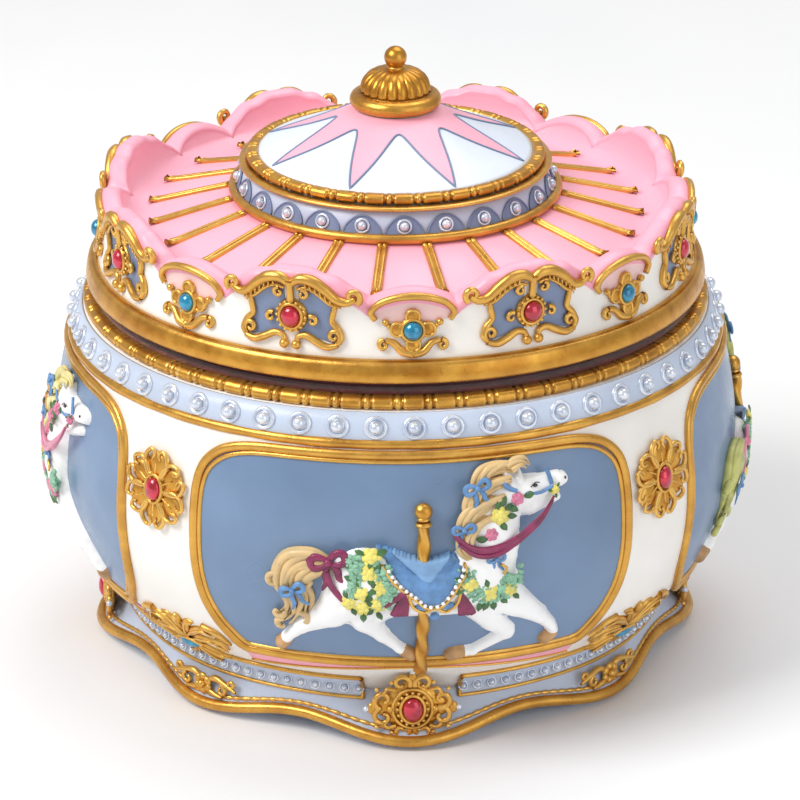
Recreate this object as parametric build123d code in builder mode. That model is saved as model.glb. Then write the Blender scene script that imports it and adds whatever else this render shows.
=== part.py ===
"""Carousel music box: a round resin trinket box with a hinged canopy lid and a clockwork movement under its tray.

The origin is on the axis of the box, on the surface it stands on. +Z is up and the front panel faces -Y.
All sizes are in millimetres.
"""

import os
from math import cos, radians, sin

from build123d import *

os.makedirs("parts", exist_ok=True)

# ---------------------------------------------------------------- driving dimensions

GLUE = 0.02  # glue line left between a trim piece and the wall behind it
SHAFT_GAP = 0.05  # radial running clearance of every shaft

# bowl of the case: (radius, height) of its outer face, from the plinth up to the waist ring
CASE_FACE = [(61.8, 11.5), (66.0, 17.0), (70.4, 22.0), (73.6, 28.0), (76.6, 36.5), (78.3, 48.5), (77.7, 58.0),
             (76.2, 67.0), (74.4, 74.0)]
CASE_WALL = 4.0
BAND_TOP = (71.6, 81.6)  # top of the sloping pearl band
THROAT_R = 66.5  # bore of the case at its mouth
RIM_R, RIM_TOP = 71.2, 84.5
WAIST_R, WAIST_Z = 75.0, 74.6

# crown of the lid: (radius, height) of its outer face, above the gold band
CROWN_FACE = [(67.4, 92.2), (66.3, 97.0), (66.0, 102.0), (66.6, 107.0), (67.4, 112.0)]
CROWN_INNER = [(56.0, 101.6), (60.6, 103.2), (62.0, 107.0), (62.8, 112.0)]
LID_BOTTOM = 87.3
RED_PEAK, BLUE_PEAK, CROWN_DIP = 111.0, 107.5, 104.2
BLUE_HALF, EIGHTH_HALF = 9.8, 25.6  # half widths of a blue lobe and of an eighth of the crown
DRUM_R, DRUM_Z = 36.5, 106.6  # foot of the drum on the canopy
DRUM_TOP_R, DRUM_TOP_Z = 33.6, 114.4
DISC_R, DISC_Z = 30.9, 116.3
FINIAL_Z = 126.8
TOTAL_HEIGHT = 140.3
RIB_COUNT = 24

# plinth: its edge waves between four main lobes and four smaller ones
LOBE_MEAN, LOBE_FOUR, LOBE_EIGHT = 66.7, 1.75, 2.05
PLINTH_TOP = 11.5
FELT = 0.6
EDGE_LIFT = 1.4  # half of the rise of the edge between two lobes
EDGE_R = 1.3

# inside
TRAY_R, TRAY_WALL, TRAY_FLOOR, LIP_TOP = 66.3, 2.0, 44.0, 87.0
HINGE_Y, HINGE_Z, HINGE_HALF = 73.0, 85.9, 9.0
PLATE_R, PLATE_Z, PLATE_T = 53.8, 8.0, 2.0
BED_Z, BED_T = PLATE_Z + PLATE_T, 3.0
SCREW_R, SCREW_RING = 1.1, 50.5
ROD_AT, ROD_R = (20.0, 57.0), 1.0

# clockwork: spring barrel, cylinder, idler and air-brake fan
BARREL_R, BARREL_Z, BARREL_TOP = 12.4, 14.0, 24.0
ARBOR_R = 2.0
CROWN_TEETH, PINION_TEETH = 30, 10
CROWN_PITCH_R = 11.0
TOOTH_PITCH_Z = 25.0
CYLINDER_R, CYLINDER_X = 6.5, (15.0, 31.5)
STAFF_R = 0.8
WHEEL_TEETH, IDLER_TEETH = 40, 30
WHEEL_MODULE, IDLER_MODULE = 0.4, 0.35

# worked out from the above
PINION_PITCH_R = CROWN_PITCH_R * PINION_TEETH / CROWN_TEETH
CYLINDER_Z = TOOTH_PITCH_Z + PINION_PITCH_R
IDLER_AT = (8.0, CYLINDER_Z - 6.0)  # (y, z): ten millimetres from the cylinder, in mesh with its wheel
FAN_AT = (IDLER_AT[0] + IDLER_MODULE * (IDLER_TEETH + PINION_TEETH) / 2, IDLER_AT[1])

SIDES = {"front": 0, "right": 90, "back": 180, "left": 270}


# ---------------------------------------------------------------- helpers


def save(part, name):
    """Labels a finished piece and writes it as its own node."""
    part.label = name
    export_step(part, f"parts/{name}.step")


def turned(shape, angle):
    """A copy of a shape turned about the axis of the box."""
    return Rotation(0, 0, angle) * shape


def group(name, solids):
    """Separate solids kept together in one node."""
    save(Compound(children=list(solids)), name)


def around(name, piece, angles):
    """Copies of one piece, turned to each angle, kept together in one node."""
    group(name, [turned(piece, angle) for angle in angles])


def face_band(face, low, high):
    """A ring that follows a turned face, from low to high millimetres outside it."""
    with BuildPart() as band:
        with BuildSketch(Plane.XZ):
            with BuildLine():
                inner = Spline(*[(r + low, z) for r, z in face])
                outer = Spline(*[(r + high, z) for r, z in face])
                Line(inner @ 0, outer @ 0)
                Line(inner @ 1, outer @ 1)
            make_face()
        revolve(axis=Axis.Z)
    return band.part


def turned_ring(points):
    """A ring turned from a closed outline of (radius, height) points."""
    with BuildPart() as ring:
        with BuildSketch(Plane.XZ):
            with BuildLine():
                Polyline(*points, close=True)
            make_face()
        revolve(axis=Axis.Z)
    return ring.part


def round_ring(radius, height, thickness):
    """A plain torus about the axis of the box."""
    with BuildPart() as ring:
        with BuildSketch(Plane.XZ):
            with Locations((radius, height)):
                Circle(thickness)
        revolve(axis=Axis.Z)
    return ring.part


def relief(sketch, band):
    """A flat outline, drawn as seen from the front, pressed onto a turned face."""
    prism = extrude(Plane.XZ.offset(40) * sketch, amount=60)
    return prism & band


def limb(start, start_r, end, end_r):
    """A tapered bar with round ends."""
    with BuildSketch() as bar:
        with Locations(start):
            Circle(start_r)
        with Locations(end):
            Circle(end_r)
        make_hull()
    return bar.sketch


def lobe_edge(angle, inset=0.0):
    """Plan point on the waving edge of the plinth."""
    a = radians(angle)
    r = LOBE_MEAN + LOBE_FOUR * cos(4 * a) + LOBE_EIGHT * cos(8 * a) - inset
    return (r * sin(a), -r * cos(a))


def edge_height(angle):
    """Height of the plinth's edge: low at a lobe and high between two."""
    return EDGE_LIFT * (1 - cos(8 * radians(angle)))


# ---------------------------------------------------------------- case

CASE_BAND_LOW = face_band(CASE_FACE, GLUE, 1.4)
CASE_BAND_MID = face_band(CASE_FACE, 1.4 + GLUE, 3.0)
CASE_BAND_HORSE = face_band(CASE_FACE, GLUE, 4.4)
CASE_BAND_POLE = face_band(CASE_FACE, GLUE, 3.0)

with BuildPart() as case_shell:
    with BuildSketch(Plane.XZ):
        with BuildLine():
            outside = Spline(*CASE_FACE)
            inside = Spline(*[(r - CASE_WALL, z) for r, z in CASE_FACE[:-1]])
            Polyline(outside @ 1, BAND_TOP, (THROAT_R, BAND_TOP[1]), (THROAT_R, CASE_FACE[-1][1] - 2), inside @ 1)
            Line(inside @ 0, outside @ 0)
        make_face()
    revolve(axis=Axis.Z)
save(case_shell.part, "case_shell")


def beaded_ring(outer, inner, bottom, top, notches):
    """A flat ring with a bead-and-reel edge: cuts in pairs leave long reels between short beads."""
    with BuildPart() as ring:
        with BuildSketch(Plane.XY.offset(bottom)):
            Circle(outer)
            Circle(inner, mode=Mode.SUBTRACT)
        extrude(amount=top - bottom)
        fillet(ring.edges().filter_by(GeomType.CIRCLE).group_by(SortBy.RADIUS)[-1], 0.9)
        for pair in range(notches):
            for shift in (-0.9, 0.9):
                angle = 360 * (pair + 0.5) / notches + shift
                a = radians(angle)
                with BuildSketch(Plane(origin=(outer * sin(a), -outer * cos(a), bottom), z_dir=(0, 0, 1),
                                       x_dir=(cos(a), sin(a), 0))):
                    Rectangle(0.35, 1.1)
                extrude(amount=top - bottom, mode=Mode.SUBTRACT)
    return ring.part


save(beaded_ring(RIM_R, THROAT_R + GLUE, BAND_TOP[1] + GLUE, RIM_TOP, 40), "case_rim")

# the waist ring lies against the foot of the sloping band
with BuildPart() as waist_ring:
    with BuildSketch(Plane.XZ):
        with Locations((WAIST_R - 1.2, WAIST_Z + 0.6)):
            Circle(1.2)
        with BuildLine():
            Polyline((70, 73), (75, 73), (CASE_FACE[-1][0] + GLUE, CASE_FACE[-1][1]),
                     (BAND_TOP[0] + GLUE, BAND_TOP[1]), (70, BAND_TOP[1]), close=True)
        make_face(mode=Mode.SUBTRACT)
    revolve(axis=Axis.Z)
save(waist_ring.part, "waist_ring")

# pearls of the sloping band, in cup bezels; none stand behind the hinge
PEARLS = 56
PEARL_AT = (73.2, 78.6)
with BuildPart() as pearl:
    with Locations((0, 0, 0.9)):
        Sphere(1.75)
    split(bisect_by=Plane.XY.offset(0.75))
with BuildPart() as bezel:
    with BuildSketch():
        Circle(2.25)
    extrude(amount=0.7)
    fillet(bezel.edges().group_by(Axis.Z)[-1], 0.3)


def on_band(angle):
    """Plane lying on the sloping pearl band."""
    a = radians(angle)
    outward = Vector(sin(a), -cos(a), 0)
    slope = (CASE_FACE[-1][0] - BAND_TOP[0]) / (BAND_TOP[1] - CASE_FACE[-1][1])
    normal = (outward + Vector(0, 0, slope)).normalized()
    origin = outward * PEARL_AT[0] + Vector(0, 0, PEARL_AT[1]) + normal * 0.25
    return Plane(origin=origin, z_dir=normal, x_dir=(cos(a), sin(a), 0))


pearl_angles = [360 * n / PEARLS for n in range(PEARLS)]
pearl_planes = [on_band(a) for a in pearl_angles if abs(a - 180) > 9]
group("rim_pearls", [plane * pearl.part for plane in pearl_planes])
group("rim_pearl_bezels", [plane * bezel.part for plane in pearl_planes])


def panel_frame():
    """Gold frame of one blue panel: two uprights that lean with the bowl, a head, a sill and cut corners."""
    low, high = 21.0, 73.6
    with BuildSketch() as outline:
        with BuildLine():
            Polyline((-43.6, low + 8), (-37.4, low), (37.4, low), (43.6, low + 8), (47.4, low + 24), (47.6, high - 14),
                     (45.8, high - 6), (37, high), (-37, high), (-45.8, high - 6), (-47.6, high - 14),
                     (-47.4, low + 24), close=True)
        make_face()
        offset(amount=-2.0, mode=Mode.SUBTRACT)
    return relief(outline.sketch, CASE_BAND_LOW)


def pilaster_flower():
    """Six gold petals round a seat for the stone."""
    with BuildSketch() as flower:
        with PolarLocations(5.0, 6):
            Circle(3.4)
        Circle(4.5)
    return relief(Pos(0, 58) * flower.sketch, CASE_BAND_LOW)


def pilaster_leaf():
    """Gold leaf spray at the foot of a pilaster."""
    with BuildSketch() as leaf:
        Ellipse(6.5, 3.0)
        with Locations((-6.5, -1), (6.5, -1)):
            Circle(2.4)
        with Locations((0, 3)):
            Circle(2.0)
    return relief(Pos(0, 19.5) * leaf.sketch, CASE_BAND_LOW)


def oval_stone(width, height, z, band):
    """Oval cabochon pressed onto a turned face."""
    with BuildSketch() as oval:
        Ellipse(width / 2, height / 2)
    return relief(Pos(0, z) * oval.sketch, band)


around("panel_frames", panel_frame(), SIDES.values())
pilasters = [angle + 45 for angle in SIDES.values()]
around("pilaster_flowers", pilaster_flower(), pilasters)
flower_stone = oval_stone(4.0, 5.2, 58, CASE_BAND_MID)
around("pilaster_leaves", pilaster_leaf(), pilasters)
around("pilaster_leaf_stones", oval_stone(6.4, 2.6, 19.5, CASE_BAND_MID), pilasters)


# ---------------------------------------------------------------- horses and poles

POLE_X = 1.6


def pole_shape():
    """Twisted brass pole with a ball on top, cast against the bulging panel."""
    with BuildSketch() as pole:
        with Locations((POLE_X, 42.1)):
            Rectangle(3.1, 37.6)
        with Locations((POLE_X, 61.2)):
            Circle(2.1)
    return relief(pole.sketch, CASE_BAND_POLE)


def horse_shape():
    """Galloping horse in relief, facing +X on the front panel."""
    bars = [
        limb((-11, 43), 8.0, (14, 42.5), 7.6),
        limb((15, 45), 7.0, (19, 58), 5.6),
        limb((19, 60), 4.6, (23, 65), 4.0),
        limb((23, 65), 3.8, (33, 62), 2.2),
        limb((-18, 49), 3.0, (-25, 49), 4.2),
        limb((-26, 48), 4.0, (-28, 37), 4.0),
        limb((18, 38), 3.2, (29, 32.5), 2.2),
        limb((29, 32.5), 2.0, (31.5, 27), 1.9),
        limb((13, 37), 3.6, (21, 30), 2.3),
        limb((21, 30), 2.0, (9, 24.5), 1.7),
        limb((-14, 39), 4.4, (-23, 34.5), 2.4),
        limb((-23, 34.5), 2.2, (-29, 27), 1.7),
        limb((-10, 38), 4.4, (-6, 31), 2.4),
        limb((-6, 31), 2.2, (-2, 25.5), 1.7),
    ]
    outline = bars[0]
    for bar in bars[1:]:
        outline = outline + bar
    return relief(outline, CASE_BAND_HORSE)


horse_body = horse_shape()
for side, angle in SIDES.items():
    save(turned(horse_body, angle), f"horse_{side}")
around("carousel_poles", pole_shape() - horse_body, SIDES.values())


# ---------------------------------------------------------------- plinth

EDGE_STEP = 7.5
edge_angles = [EDGE_STEP * n for n in range(int(360 / EDGE_STEP))]

with BuildPart() as base_plinth:
    with BuildSketch(Plane.XY.offset(FELT)):
        with BuildLine():
            Spline(*[lobe_edge(a, EDGE_R) for a in edge_angles], periodic=True)
        make_face()
    with BuildSketch(Plane.XY.offset(PLINTH_TOP)):
        with BuildLine():
            Spline(*[(CASE_FACE[0][0] * sin(radians(a)), -CASE_FACE[0][0] * cos(radians(a))) for a in edge_angles],
                   periodic=True)
        make_face()
    loft()
    with BuildSketch(Plane.XY):
        Circle(PLATE_R + 0.2)
    extrude(amount=PLATE_Z + PLATE_T, mode=Mode.SUBTRACT)
    with BuildSketch(Plane.XY):
        Circle(47)
    extrude(amount=PLINTH_TOP, mode=Mode.SUBTRACT)
    # arches under the edge between the lobes
    for valley in (24, 66, 114, 156, 204, 246, 294, 336):
        a = radians(valley)
        with BuildSketch(Plane(origin=(0, 0, -11.2), z_dir=(sin(a), -cos(a), 0), x_dir=(cos(a), sin(a), 0))):
            Circle(14)
        extrude(amount=80, mode=Mode.SUBTRACT)
    # bosses that take the screws of the bottom plate
    with BuildSketch(Plane.XY.offset(PLATE_Z + PLATE_T)):
        with PolarLocations(SCREW_RING, 4, start_angle=45):
            Circle(3.4)
    extrude(amount=9)
    with BuildSketch(Plane.XY.offset(PLATE_Z + PLATE_T)):
        with PolarLocations(SCREW_RING, 4, start_angle=45):
            Circle(SCREW_R)
    extrude(amount=6, mode=Mode.SUBTRACT)
save(base_plinth.part, "base_plinth")

# the gold edge is swept over one quarter, from main lobe to main lobe, and repeated
with BuildPart() as edge_quarter:
    with BuildLine() as edge_line:
        Spline(*[(*lobe_edge(a, EDGE_R), FELT + EDGE_R + 0.1 + edge_height(a)) for a in edge_angles[:13]],
               tangents=((1, 0, 0), (0, 1, 0)))
    with BuildSketch(Plane(origin=edge_line.line @ 0, z_dir=(1, 0, 0))):
        Circle(EDGE_R)
    sweep(path=edge_line.line)
with BuildPart() as edge_trim:
    for angle in SIDES.values():
        add(turned(edge_quarter.part, angle))
save(edge_trim.part, "base_edge_trim")

# fine white pearls round the plinth, one string in each quarter, between a main lobe and the next
BELT_PEARLS = 24
BELT_PEARL_R, BELT_R, BELT_Z = 0.95, 63.4, 11.8


def belt_pearl_angles():
    """Directions of the pearls of all four strings."""
    return [quarter + 9 + 72 * (n + 0.5) / BELT_PEARLS for quarter in (0, 90, 180, 270) for n in range(BELT_PEARLS)]


belt_pearl = Pos(0, -BELT_R, BELT_Z) * Sphere(BELT_PEARL_R)
around("belt_pearls", belt_pearl, belt_pearl_angles())


def upright_ornament(shape, back, front):
    """A flat ornament standing upright against the plinth, cast into it, between two distances from the axis."""
    return extrude(Plane.XZ.offset(back) * shape, amount=front - back)


def medallion():
    """Diamond-shaped gold scrollwork at a main lobe."""
    with BuildSketch() as diamond:
        Circle(4.4)
        with PolarLocations(5.6, 4):
            Circle(2.6)
        with PolarLocations(5.2, 4, start_angle=45):
            Circle(1.7)
    return upright_ornament(Pos(0, 9.2) * diamond.sketch, 64.0, 68.5)


def lobe_scroll():
    """Gold scroll and flower at a smaller lobe."""
    with BuildSketch() as scroll:
        Ellipse(8.0, 1.9)
        Circle(2.8)
    return upright_ornament(Pos(0, 5.6) * scroll.sketch, 62.0, 66.6)


around("base_medallions", medallion(), SIDES.values())
with BuildSketch() as medallion_stone:
    Ellipse(2.6, 2.2)
red_stone = extrude(Plane.XZ.offset(68.5 + GLUE) * (Pos(0, 9.2) * medallion_stone.sketch), amount=1.5)
group("case_red_stones", [turned(red_stone, a) for a in SIDES.values()] +
      [turned(flower_stone, a) for a in pilasters])
around("base_scrolls", lobe_scroll(), pilasters)

with BuildPart() as felt_foot:
    with BuildSketch(Plane.XY):
        with Locations((0, -62.4)):
            RectangleRounded(16, 7.6, 3)
    extrude(amount=FELT - GLUE)
around("felt_feet", felt_foot.part, SIDES.values())


# ---------------------------------------------------------------- lid

with BuildPart() as canopy:
    with BuildSketch(Plane.XZ):
        with BuildLine():
            drum = Line((DRUM_R, DRUM_Z), CROWN_INNER[0])
            inner_face = Spline(*CROWN_INNER, tangents=((1, 0), (0.1, 1)))
            outer_face = Spline(*CROWN_FACE)
            Line(inner_face @ 1, outer_face @ 1)
            Polyline(outer_face @ 0, (67.4, LID_BOTTOM), (63.4, LID_BOTTOM), (62.4, 95.0), (55.5, 98.0), (33.0, 103.2),
                     (29.0, 108.6), (29.0, DRUM_TOP_Z - 1), (DRUM_TOP_R - 0.6, DRUM_TOP_Z - 1), (DRUM_R, DRUM_Z))
        make_face()
    revolve(axis=Axis.Z)


def crown_wave(x):
    """Height of the crown's edge across one eighth: a narrow blue lobe between two halves of wide red ones."""
    if abs(x) < BLUE_HALF:
        return CROWN_DIP + (BLUE_PEAK - CROWN_DIP) * cos(radians(90 * x / BLUE_HALF))
    return CROWN_DIP + (RED_PEAK - CROWN_DIP) * sin(radians(90 * (abs(x) - BLUE_HALF) / (EIGHTH_HALF - BLUE_HALF)))


with BuildSketch(Plane.XZ.offset(50)) as wave:
    with BuildLine():
        steps = [-27 + 1.5 * n for n in range(37)]
        edge = Spline(*[(x, crown_wave(x)) for x in steps])
        Polyline(edge @ 1, (27, 116), (-27, 116), edge @ 0)
    make_face()
wave_tool = extrude(wave.sketch, amount=30)
crown = canopy.part
for n in range(8):
    crown = crown - turned(wave_tool, 45 * n)
save(crown, "canopy")

with BuildPart() as crown_band:
    with BuildSketch(Plane.XZ):
        with BuildLine():
            Polyline((67.4 + GLUE, LID_BOTTOM), (69.8, LID_BOTTOM), (70.4, 88.2), (69.9, 91.4), (69.0, 92.2),
                     (67.4 + GLUE, 92.2), close=True)
        make_face()
    revolve(axis=Axis.Z)
save(crown_band.part, "crown_band")

CROWN_LOW = face_band(CROWN_FACE, GLUE, 1.5)
CROWN_MID = face_band(CROWN_FACE, 1.5 + GLUE, 3.2)


def red_cartouche():
    """Wide scroll plate with two upswept arms and a round seat for a red stone."""
    with BuildSketch() as plate:
        with Locations((0, 100.6)):
            Circle(4.6)
        with Locations((0, 97.6)):
            Rectangle(18, 5.6)
        for side in (-1, 1):
            add(limb((side * 3, 107.2), 1.6, (side * 8, 106.4), 1.5))
            add(limb((side * 8, 106.0), 1.5, (side * 13.6, 103.6), 1.4))
            add(limb((side * 9.6, 104.6), 1.2, (side * 10.4, 96.4), 1.4))
            add(limb((side * 1.5, 95.2), 1.4, (side * 9.8, 95.6), 1.3))
    return relief(plate.sketch, CROWN_LOW)


def blue_cartouche():
    """Small four-lobed flower under an arch, with a round seat for a blue stone."""
    with BuildSketch() as plate:
        with Locations((0, 98.6)):
            with PolarLocations(3.0, 4):
                Circle(2.2)
            Circle(2.6)
        for side in (-1, 1):
            add(limb((0, 105.2), 0.9, (side * 6.2, 104.0), 0.9))
            add(limb((side * 6.2, 104.0), 0.9, (side * 8.2, 101.4), 0.9))
            add(limb((0, 94.2), 0.8, (side * 6.0, 95.8), 0.8))
    return relief(plate.sketch, CROWN_LOW)


blue_places = [45 * n for n in range(8)]
red_places = [angle + 22.5 for angle in blue_places]
around("red_cartouches", red_cartouche(), red_places)
around("blue_cartouches", blue_cartouche(), blue_places)
around("crown_red_stones", oval_stone(4.2, 4.6, 100.6, CROWN_MID), red_places)
around("crown_blue_stones", oval_stone(4.0, 4.0, 98.6, CROWN_MID), blue_places)

# gold ribs lie along the canopy, from the drum to the crown
SLOPE_DROP = (DRUM_Z - CROWN_INNER[0][1]) / (CROWN_INNER[0][0] - DRUM_R)
with BuildPart() as rib:
    with BuildSketch(Plane.XZ):
        start, end = (DRUM_R + 1.4, DRUM_Z - 1.4 * SLOPE_DROP + GLUE), (55.6, CROWN_INNER[0][1] + 0.4 * SLOPE_DROP + GLUE)
        with BuildLine():
            Polyline(start, end, (end[0] - 0.4, end[1] + 0.9), (start[0], start[1] + 0.9), close=True)
        make_face()
    extrude(amount=0.65, both=True)
rib_angles = [360 * (n + 0.5) / RIB_COUNT for n in range(RIB_COUNT)]
around("canopy_ribs", rib.part, [angle - 90 for angle in rib_angles])

# drum: a ring at its foot, a sloping band with pearls, a second ring and the beaded rim of the disc
drum_foot = round_ring(DRUM_R + 0.1, DRUM_Z + 1.2, 1.15) - crown
drum_top = turned_ring([(29.0, DRUM_TOP_Z - 1 + GLUE), (34.4, DRUM_TOP_Z - 1 + GLUE), (35.4, DRUM_TOP_Z - 0.6),
                        (35.0, DRUM_TOP_Z), (29.0, DRUM_TOP_Z)])
group("drum_rings", [drum_foot, drum_top])
save(beaded_ring(33.7, DISC_R, DRUM_TOP_Z + GLUE, DISC_Z + 0.4, 32), "disc_rim")


def on_drum(angle):
    """Plane lying on the sloping drum band."""
    a = radians(angle)
    outward = Vector(sin(a), -cos(a), 0)
    run, rise = DRUM_R - DRUM_TOP_R, DRUM_TOP_Z - DRUM_Z
    normal = (outward * rise + Vector(0, 0, run)).normalized()
    middle = outward * ((DRUM_R + DRUM_TOP_R) / 2) + Vector(0, 0, (DRUM_Z + DRUM_TOP_Z) / 2) + normal * 0.35
    return Plane(origin=middle, z_dir=normal, x_dir=(cos(a), sin(a), 0))


with BuildPart() as drum_pearl:
    with Locations((0, 0, 0.5)):
        Sphere(1.25)
    split(bisect_by=Plane.XY.offset(0.1))
group("drum_pearls", [on_drum(a - 7.5) * drum_pearl.part for a in rib_angles])

with BuildPart() as top_disc:
    with BuildSketch(Plane.XZ):
        with BuildLine():
            slope = Spline((DISC_R - GLUE, DISC_Z), (22.0, 119.9), (9.0, FINIAL_Z - 0.6), tangents=((-1, 0.3), (-1, 0.75)))
            Polyline(slope @ 1, (0, FINIAL_Z - 0.6), (0, FINIAL_Z - 4), (22, 116.6), (28, DRUM_TOP_Z + GLUE),
                     (DISC_R - GLUE, DRUM_TOP_Z + GLUE), slope @ 0)
        make_face()
    revolve(axis=Axis.Z)
    with BuildSketch(Plane.XY.offset(FINIAL_Z - 5)):
        Circle(1.6)
    extrude(amount=5, mode=Mode.SUBTRACT)
save(top_disc.part, "top_disc")

# finial: a round foot, a ribbed dome and a ball, held by a stud from below
with BuildPart() as finial:
    with BuildSketch(Plane.XZ):
        with BuildLine():
            foot = Polyline((0, FINIAL_Z - 0.58), (8.6, FINIAL_Z - 0.58))
            bead = ThreePointArc((8.6, FINIAL_Z - 0.58), (10.3, FINIAL_Z + 1.3), (8.6, FINIAL_Z + 3.0))
            waist_line = Line(bead @ 1, (7.4, FINIAL_Z + 3.1))
            dome = ThreePointArc((7.4, FINIAL_Z + 3.1), (7.7, FINIAL_Z + 7.0), (0, TOTAL_HEIGHT - 4.2))
            Line(dome @ 1, foot @ 0)
        make_face()
    revolve(axis=Axis.Z)
    with Locations((0, 0, TOTAL_HEIGHT - 2.6)):
        Sphere(2.6)
    with BuildSketch(Plane.XY.offset(FINIAL_Z + 3.1)):
        with PolarLocations(8.2, 20):
            Circle(0.55)
    extrude(amount=6, mode=Mode.SUBTRACT)
    with BuildSketch(Plane.XY.offset(FINIAL_Z - 0.6)):
        Circle(1.55)
    extrude(amount=6, mode=Mode.SUBTRACT)
save(finial.part, "finial")

with BuildPart() as finial_stud:
    with BuildSketch(Plane.XY.offset(FINIAL_Z - 6)):
        Circle(1.5)
    extrude(amount=11)
    with BuildSketch(Plane.XY.offset(FINIAL_Z - 6.95)):
        RegularPolygon(3.2, 6)
    extrude(amount=2.0)
save(finial_stud.part, "finial_stud")

save(turned_ring([(0, LID_BOTTOM), (63.3, LID_BOTTOM), (63.0, LID_BOTTOM + 1.4), (0, LID_BOTTOM + 1.4)]), "lid_lining")


# ---------------------------------------------------------------- tray, hinge and bottom plate

with BuildPart() as tray_liner:
    with BuildSketch(Plane.XZ):
        with BuildLine():
            Polyline((0, TRAY_FLOOR), (TRAY_R, TRAY_FLOOR), (TRAY_R, RIM_TOP + GLUE), (68.4, RIM_TOP + GLUE),
                     (68.4, RIM_TOP + 0.8), (TRAY_R, RIM_TOP + 0.8), (TRAY_R, LIP_TOP), (TRAY_R - TRAY_WALL, LIP_TOP),
                     (TRAY_R - TRAY_WALL, TRAY_FLOOR + 2), (0, TRAY_FLOOR + 2), close=True)
        make_face()
    revolve(axis=Axis.Z)
    with BuildSketch(Plane.XY.offset(TRAY_FLOOR)):
        with Locations(ROD_AT):
            Circle(ROD_R + SHAFT_GAP)
    extrude(amount=2, mode=Mode.SUBTRACT)
save(tray_liner.part, "tray_liner")

with BuildPart() as rod_tube:
    with BuildSketch(Plane.XY.offset(TRAY_FLOOR + 2 + GLUE)):
        with Locations(ROD_AT):
            Circle(2.0)
            Circle(ROD_R + SHAFT_GAP, mode=Mode.SUBTRACT)
    extrude(amount=36)
save(rod_tube.part, "rod_tube")

with BuildPart() as start_rod:
    with BuildSketch(Plane.XY.offset(34)):
        with Locations(ROD_AT):
            Circle(ROD_R)
    extrude(amount=LIP_TOP - 34.2)
    with BuildSketch(Plane.XY.offset(34)):
        with Locations((ROD_AT[0], ROD_AT[1])):
            Circle(2.4)
    extrude(amount=1.5)
save(start_rod.part, "start_rod")


def hinge_leaf(bottom, thick, front, knuckles):
    """Flat leaf across the back of the box, rolled round the hinge pin at its knuckles."""
    with BuildPart() as leaf:
        with BuildSketch(Plane.XY.offset(bottom)):
            with Locations((0, (front + 71.4) / 2)):
                Rectangle(2 * HINGE_HALF, 71.4 - front)
        extrude(amount=thick)
        for x0, x1 in knuckles:
            with BuildSketch(Plane.YZ.offset(x0)):
                with Locations((HINGE_Y, HINGE_Z)):
                    Circle(1.3)
                with Locations(((71.3 + HINGE_Y) / 2, bottom + thick / 2)):
                    Rectangle(HINGE_Y - 71.3, thick)
                with Locations((HINGE_Y, HINGE_Z)):
                    Circle(0.8 + SHAFT_GAP, mode=Mode.SUBTRACT)
            extrude(amount=x1 - x0)
    return leaf.part


save(hinge_leaf(RIM_TOP + 0.05, 0.7, 68.7, [(-9.0, -3.1), (3.1, 9.0)]), "hinge_leaf_case")
save(hinge_leaf(86.5, 0.7, 67.6, [(-2.9, 2.9)]), "hinge_leaf_lid")
with BuildPart() as hinge_pin:
    with BuildSketch(Plane.YZ.offset(-9.4)):
        with Locations((HINGE_Y, HINGE_Z)):
            Circle(0.8)
    extrude(amount=18.8)
save(hinge_pin.part, "hinge_pin")

SCREW_PLACES = [(-11, -18), (-11, 15), (37, -18)]  # bottom plate to bedplate

with BuildPart() as bottom_plate:
    with BuildSketch(Plane.XY.offset(PLATE_Z)):
        Circle(PLATE_R)
        Circle(2.8, mode=Mode.SUBTRACT)
        with PolarLocations(SCREW_RING, 4, start_angle=45):
            Circle(SCREW_R + 0.1, mode=Mode.SUBTRACT)
        with Locations(*SCREW_PLACES):
            Circle(SCREW_R + 0.1, mode=Mode.SUBTRACT)
    extrude(amount=PLATE_T - GLUE)
save(bottom_plate.part, "bottom_plate")


def screw(x, y, length):
    """Round-headed cross-recess screw driven upwards through the bottom plate."""
    with BuildPart() as one:
        with BuildSketch(Plane.XY.offset(PLATE_Z - 1.5)):
            Circle(2.1)
        extrude(amount=1.5 - GLUE)
        fillet(one.faces().sort_by(Axis.Z)[0].edges(), 0.7)
        with BuildSketch(Plane.XY.offset(PLATE_Z - 1.5)):
            Rectangle(2.4, 0.5)
            Rectangle(0.5, 2.4)
        extrude(amount=0.7, mode=Mode.SUBTRACT)
        with BuildSketch(Plane.XY.offset(PLATE_Z - 0.1)):
            Circle(SCREW_R - GLUE)
        extrude(amount=length)
    return Pos(x, y, 0) * one.part


screw_corners = [(SCREW_RING * cos(radians(a)), SCREW_RING * sin(radians(a))) for a in (45, 135, 225, 315)]
plate_screws = [screw(x, y, 7.5) for x, y in screw_corners]
movement_screws = [screw(x, y, 4.5) for x, y in SCREW_PLACES]
group("bottom_screws", plate_screws + movement_screws)


# ---------------------------------------------------------------- clockwork


def spur(teeth, module, width, bore, phase=0.0):
    """Spur gear about Z with slim straight-flanked teeth that leave backlash."""
    pitch_r = teeth * module / 2
    root, tip = pitch_r - 1.15 * module, pitch_r + 0.8 * module
    step = radians(360 / teeth)
    points = []
    for n in range(teeth):
        middle = step * n + radians(phase)
        for r, share in ((root, -0.26), (tip, -0.1), (tip, 0.1), (root, 0.26)):
            a = middle + share * step
            points.append((r * cos(a), r * sin(a)))
    with BuildPart() as gear:
        with BuildSketch():
            with BuildLine():
                Polyline(*points, close=True)
            make_face()
            if bore:
                Circle(bore, mode=Mode.SUBTRACT)
        extrude(amount=width)
    return gear.part


def along_x(x, y, z):
    """Place on the clockwork where a Z-built piece lies along +X."""
    return Plane(origin=(x, y, z), z_dir=(1, 0, 0), x_dir=(0, 1, 0))


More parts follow.
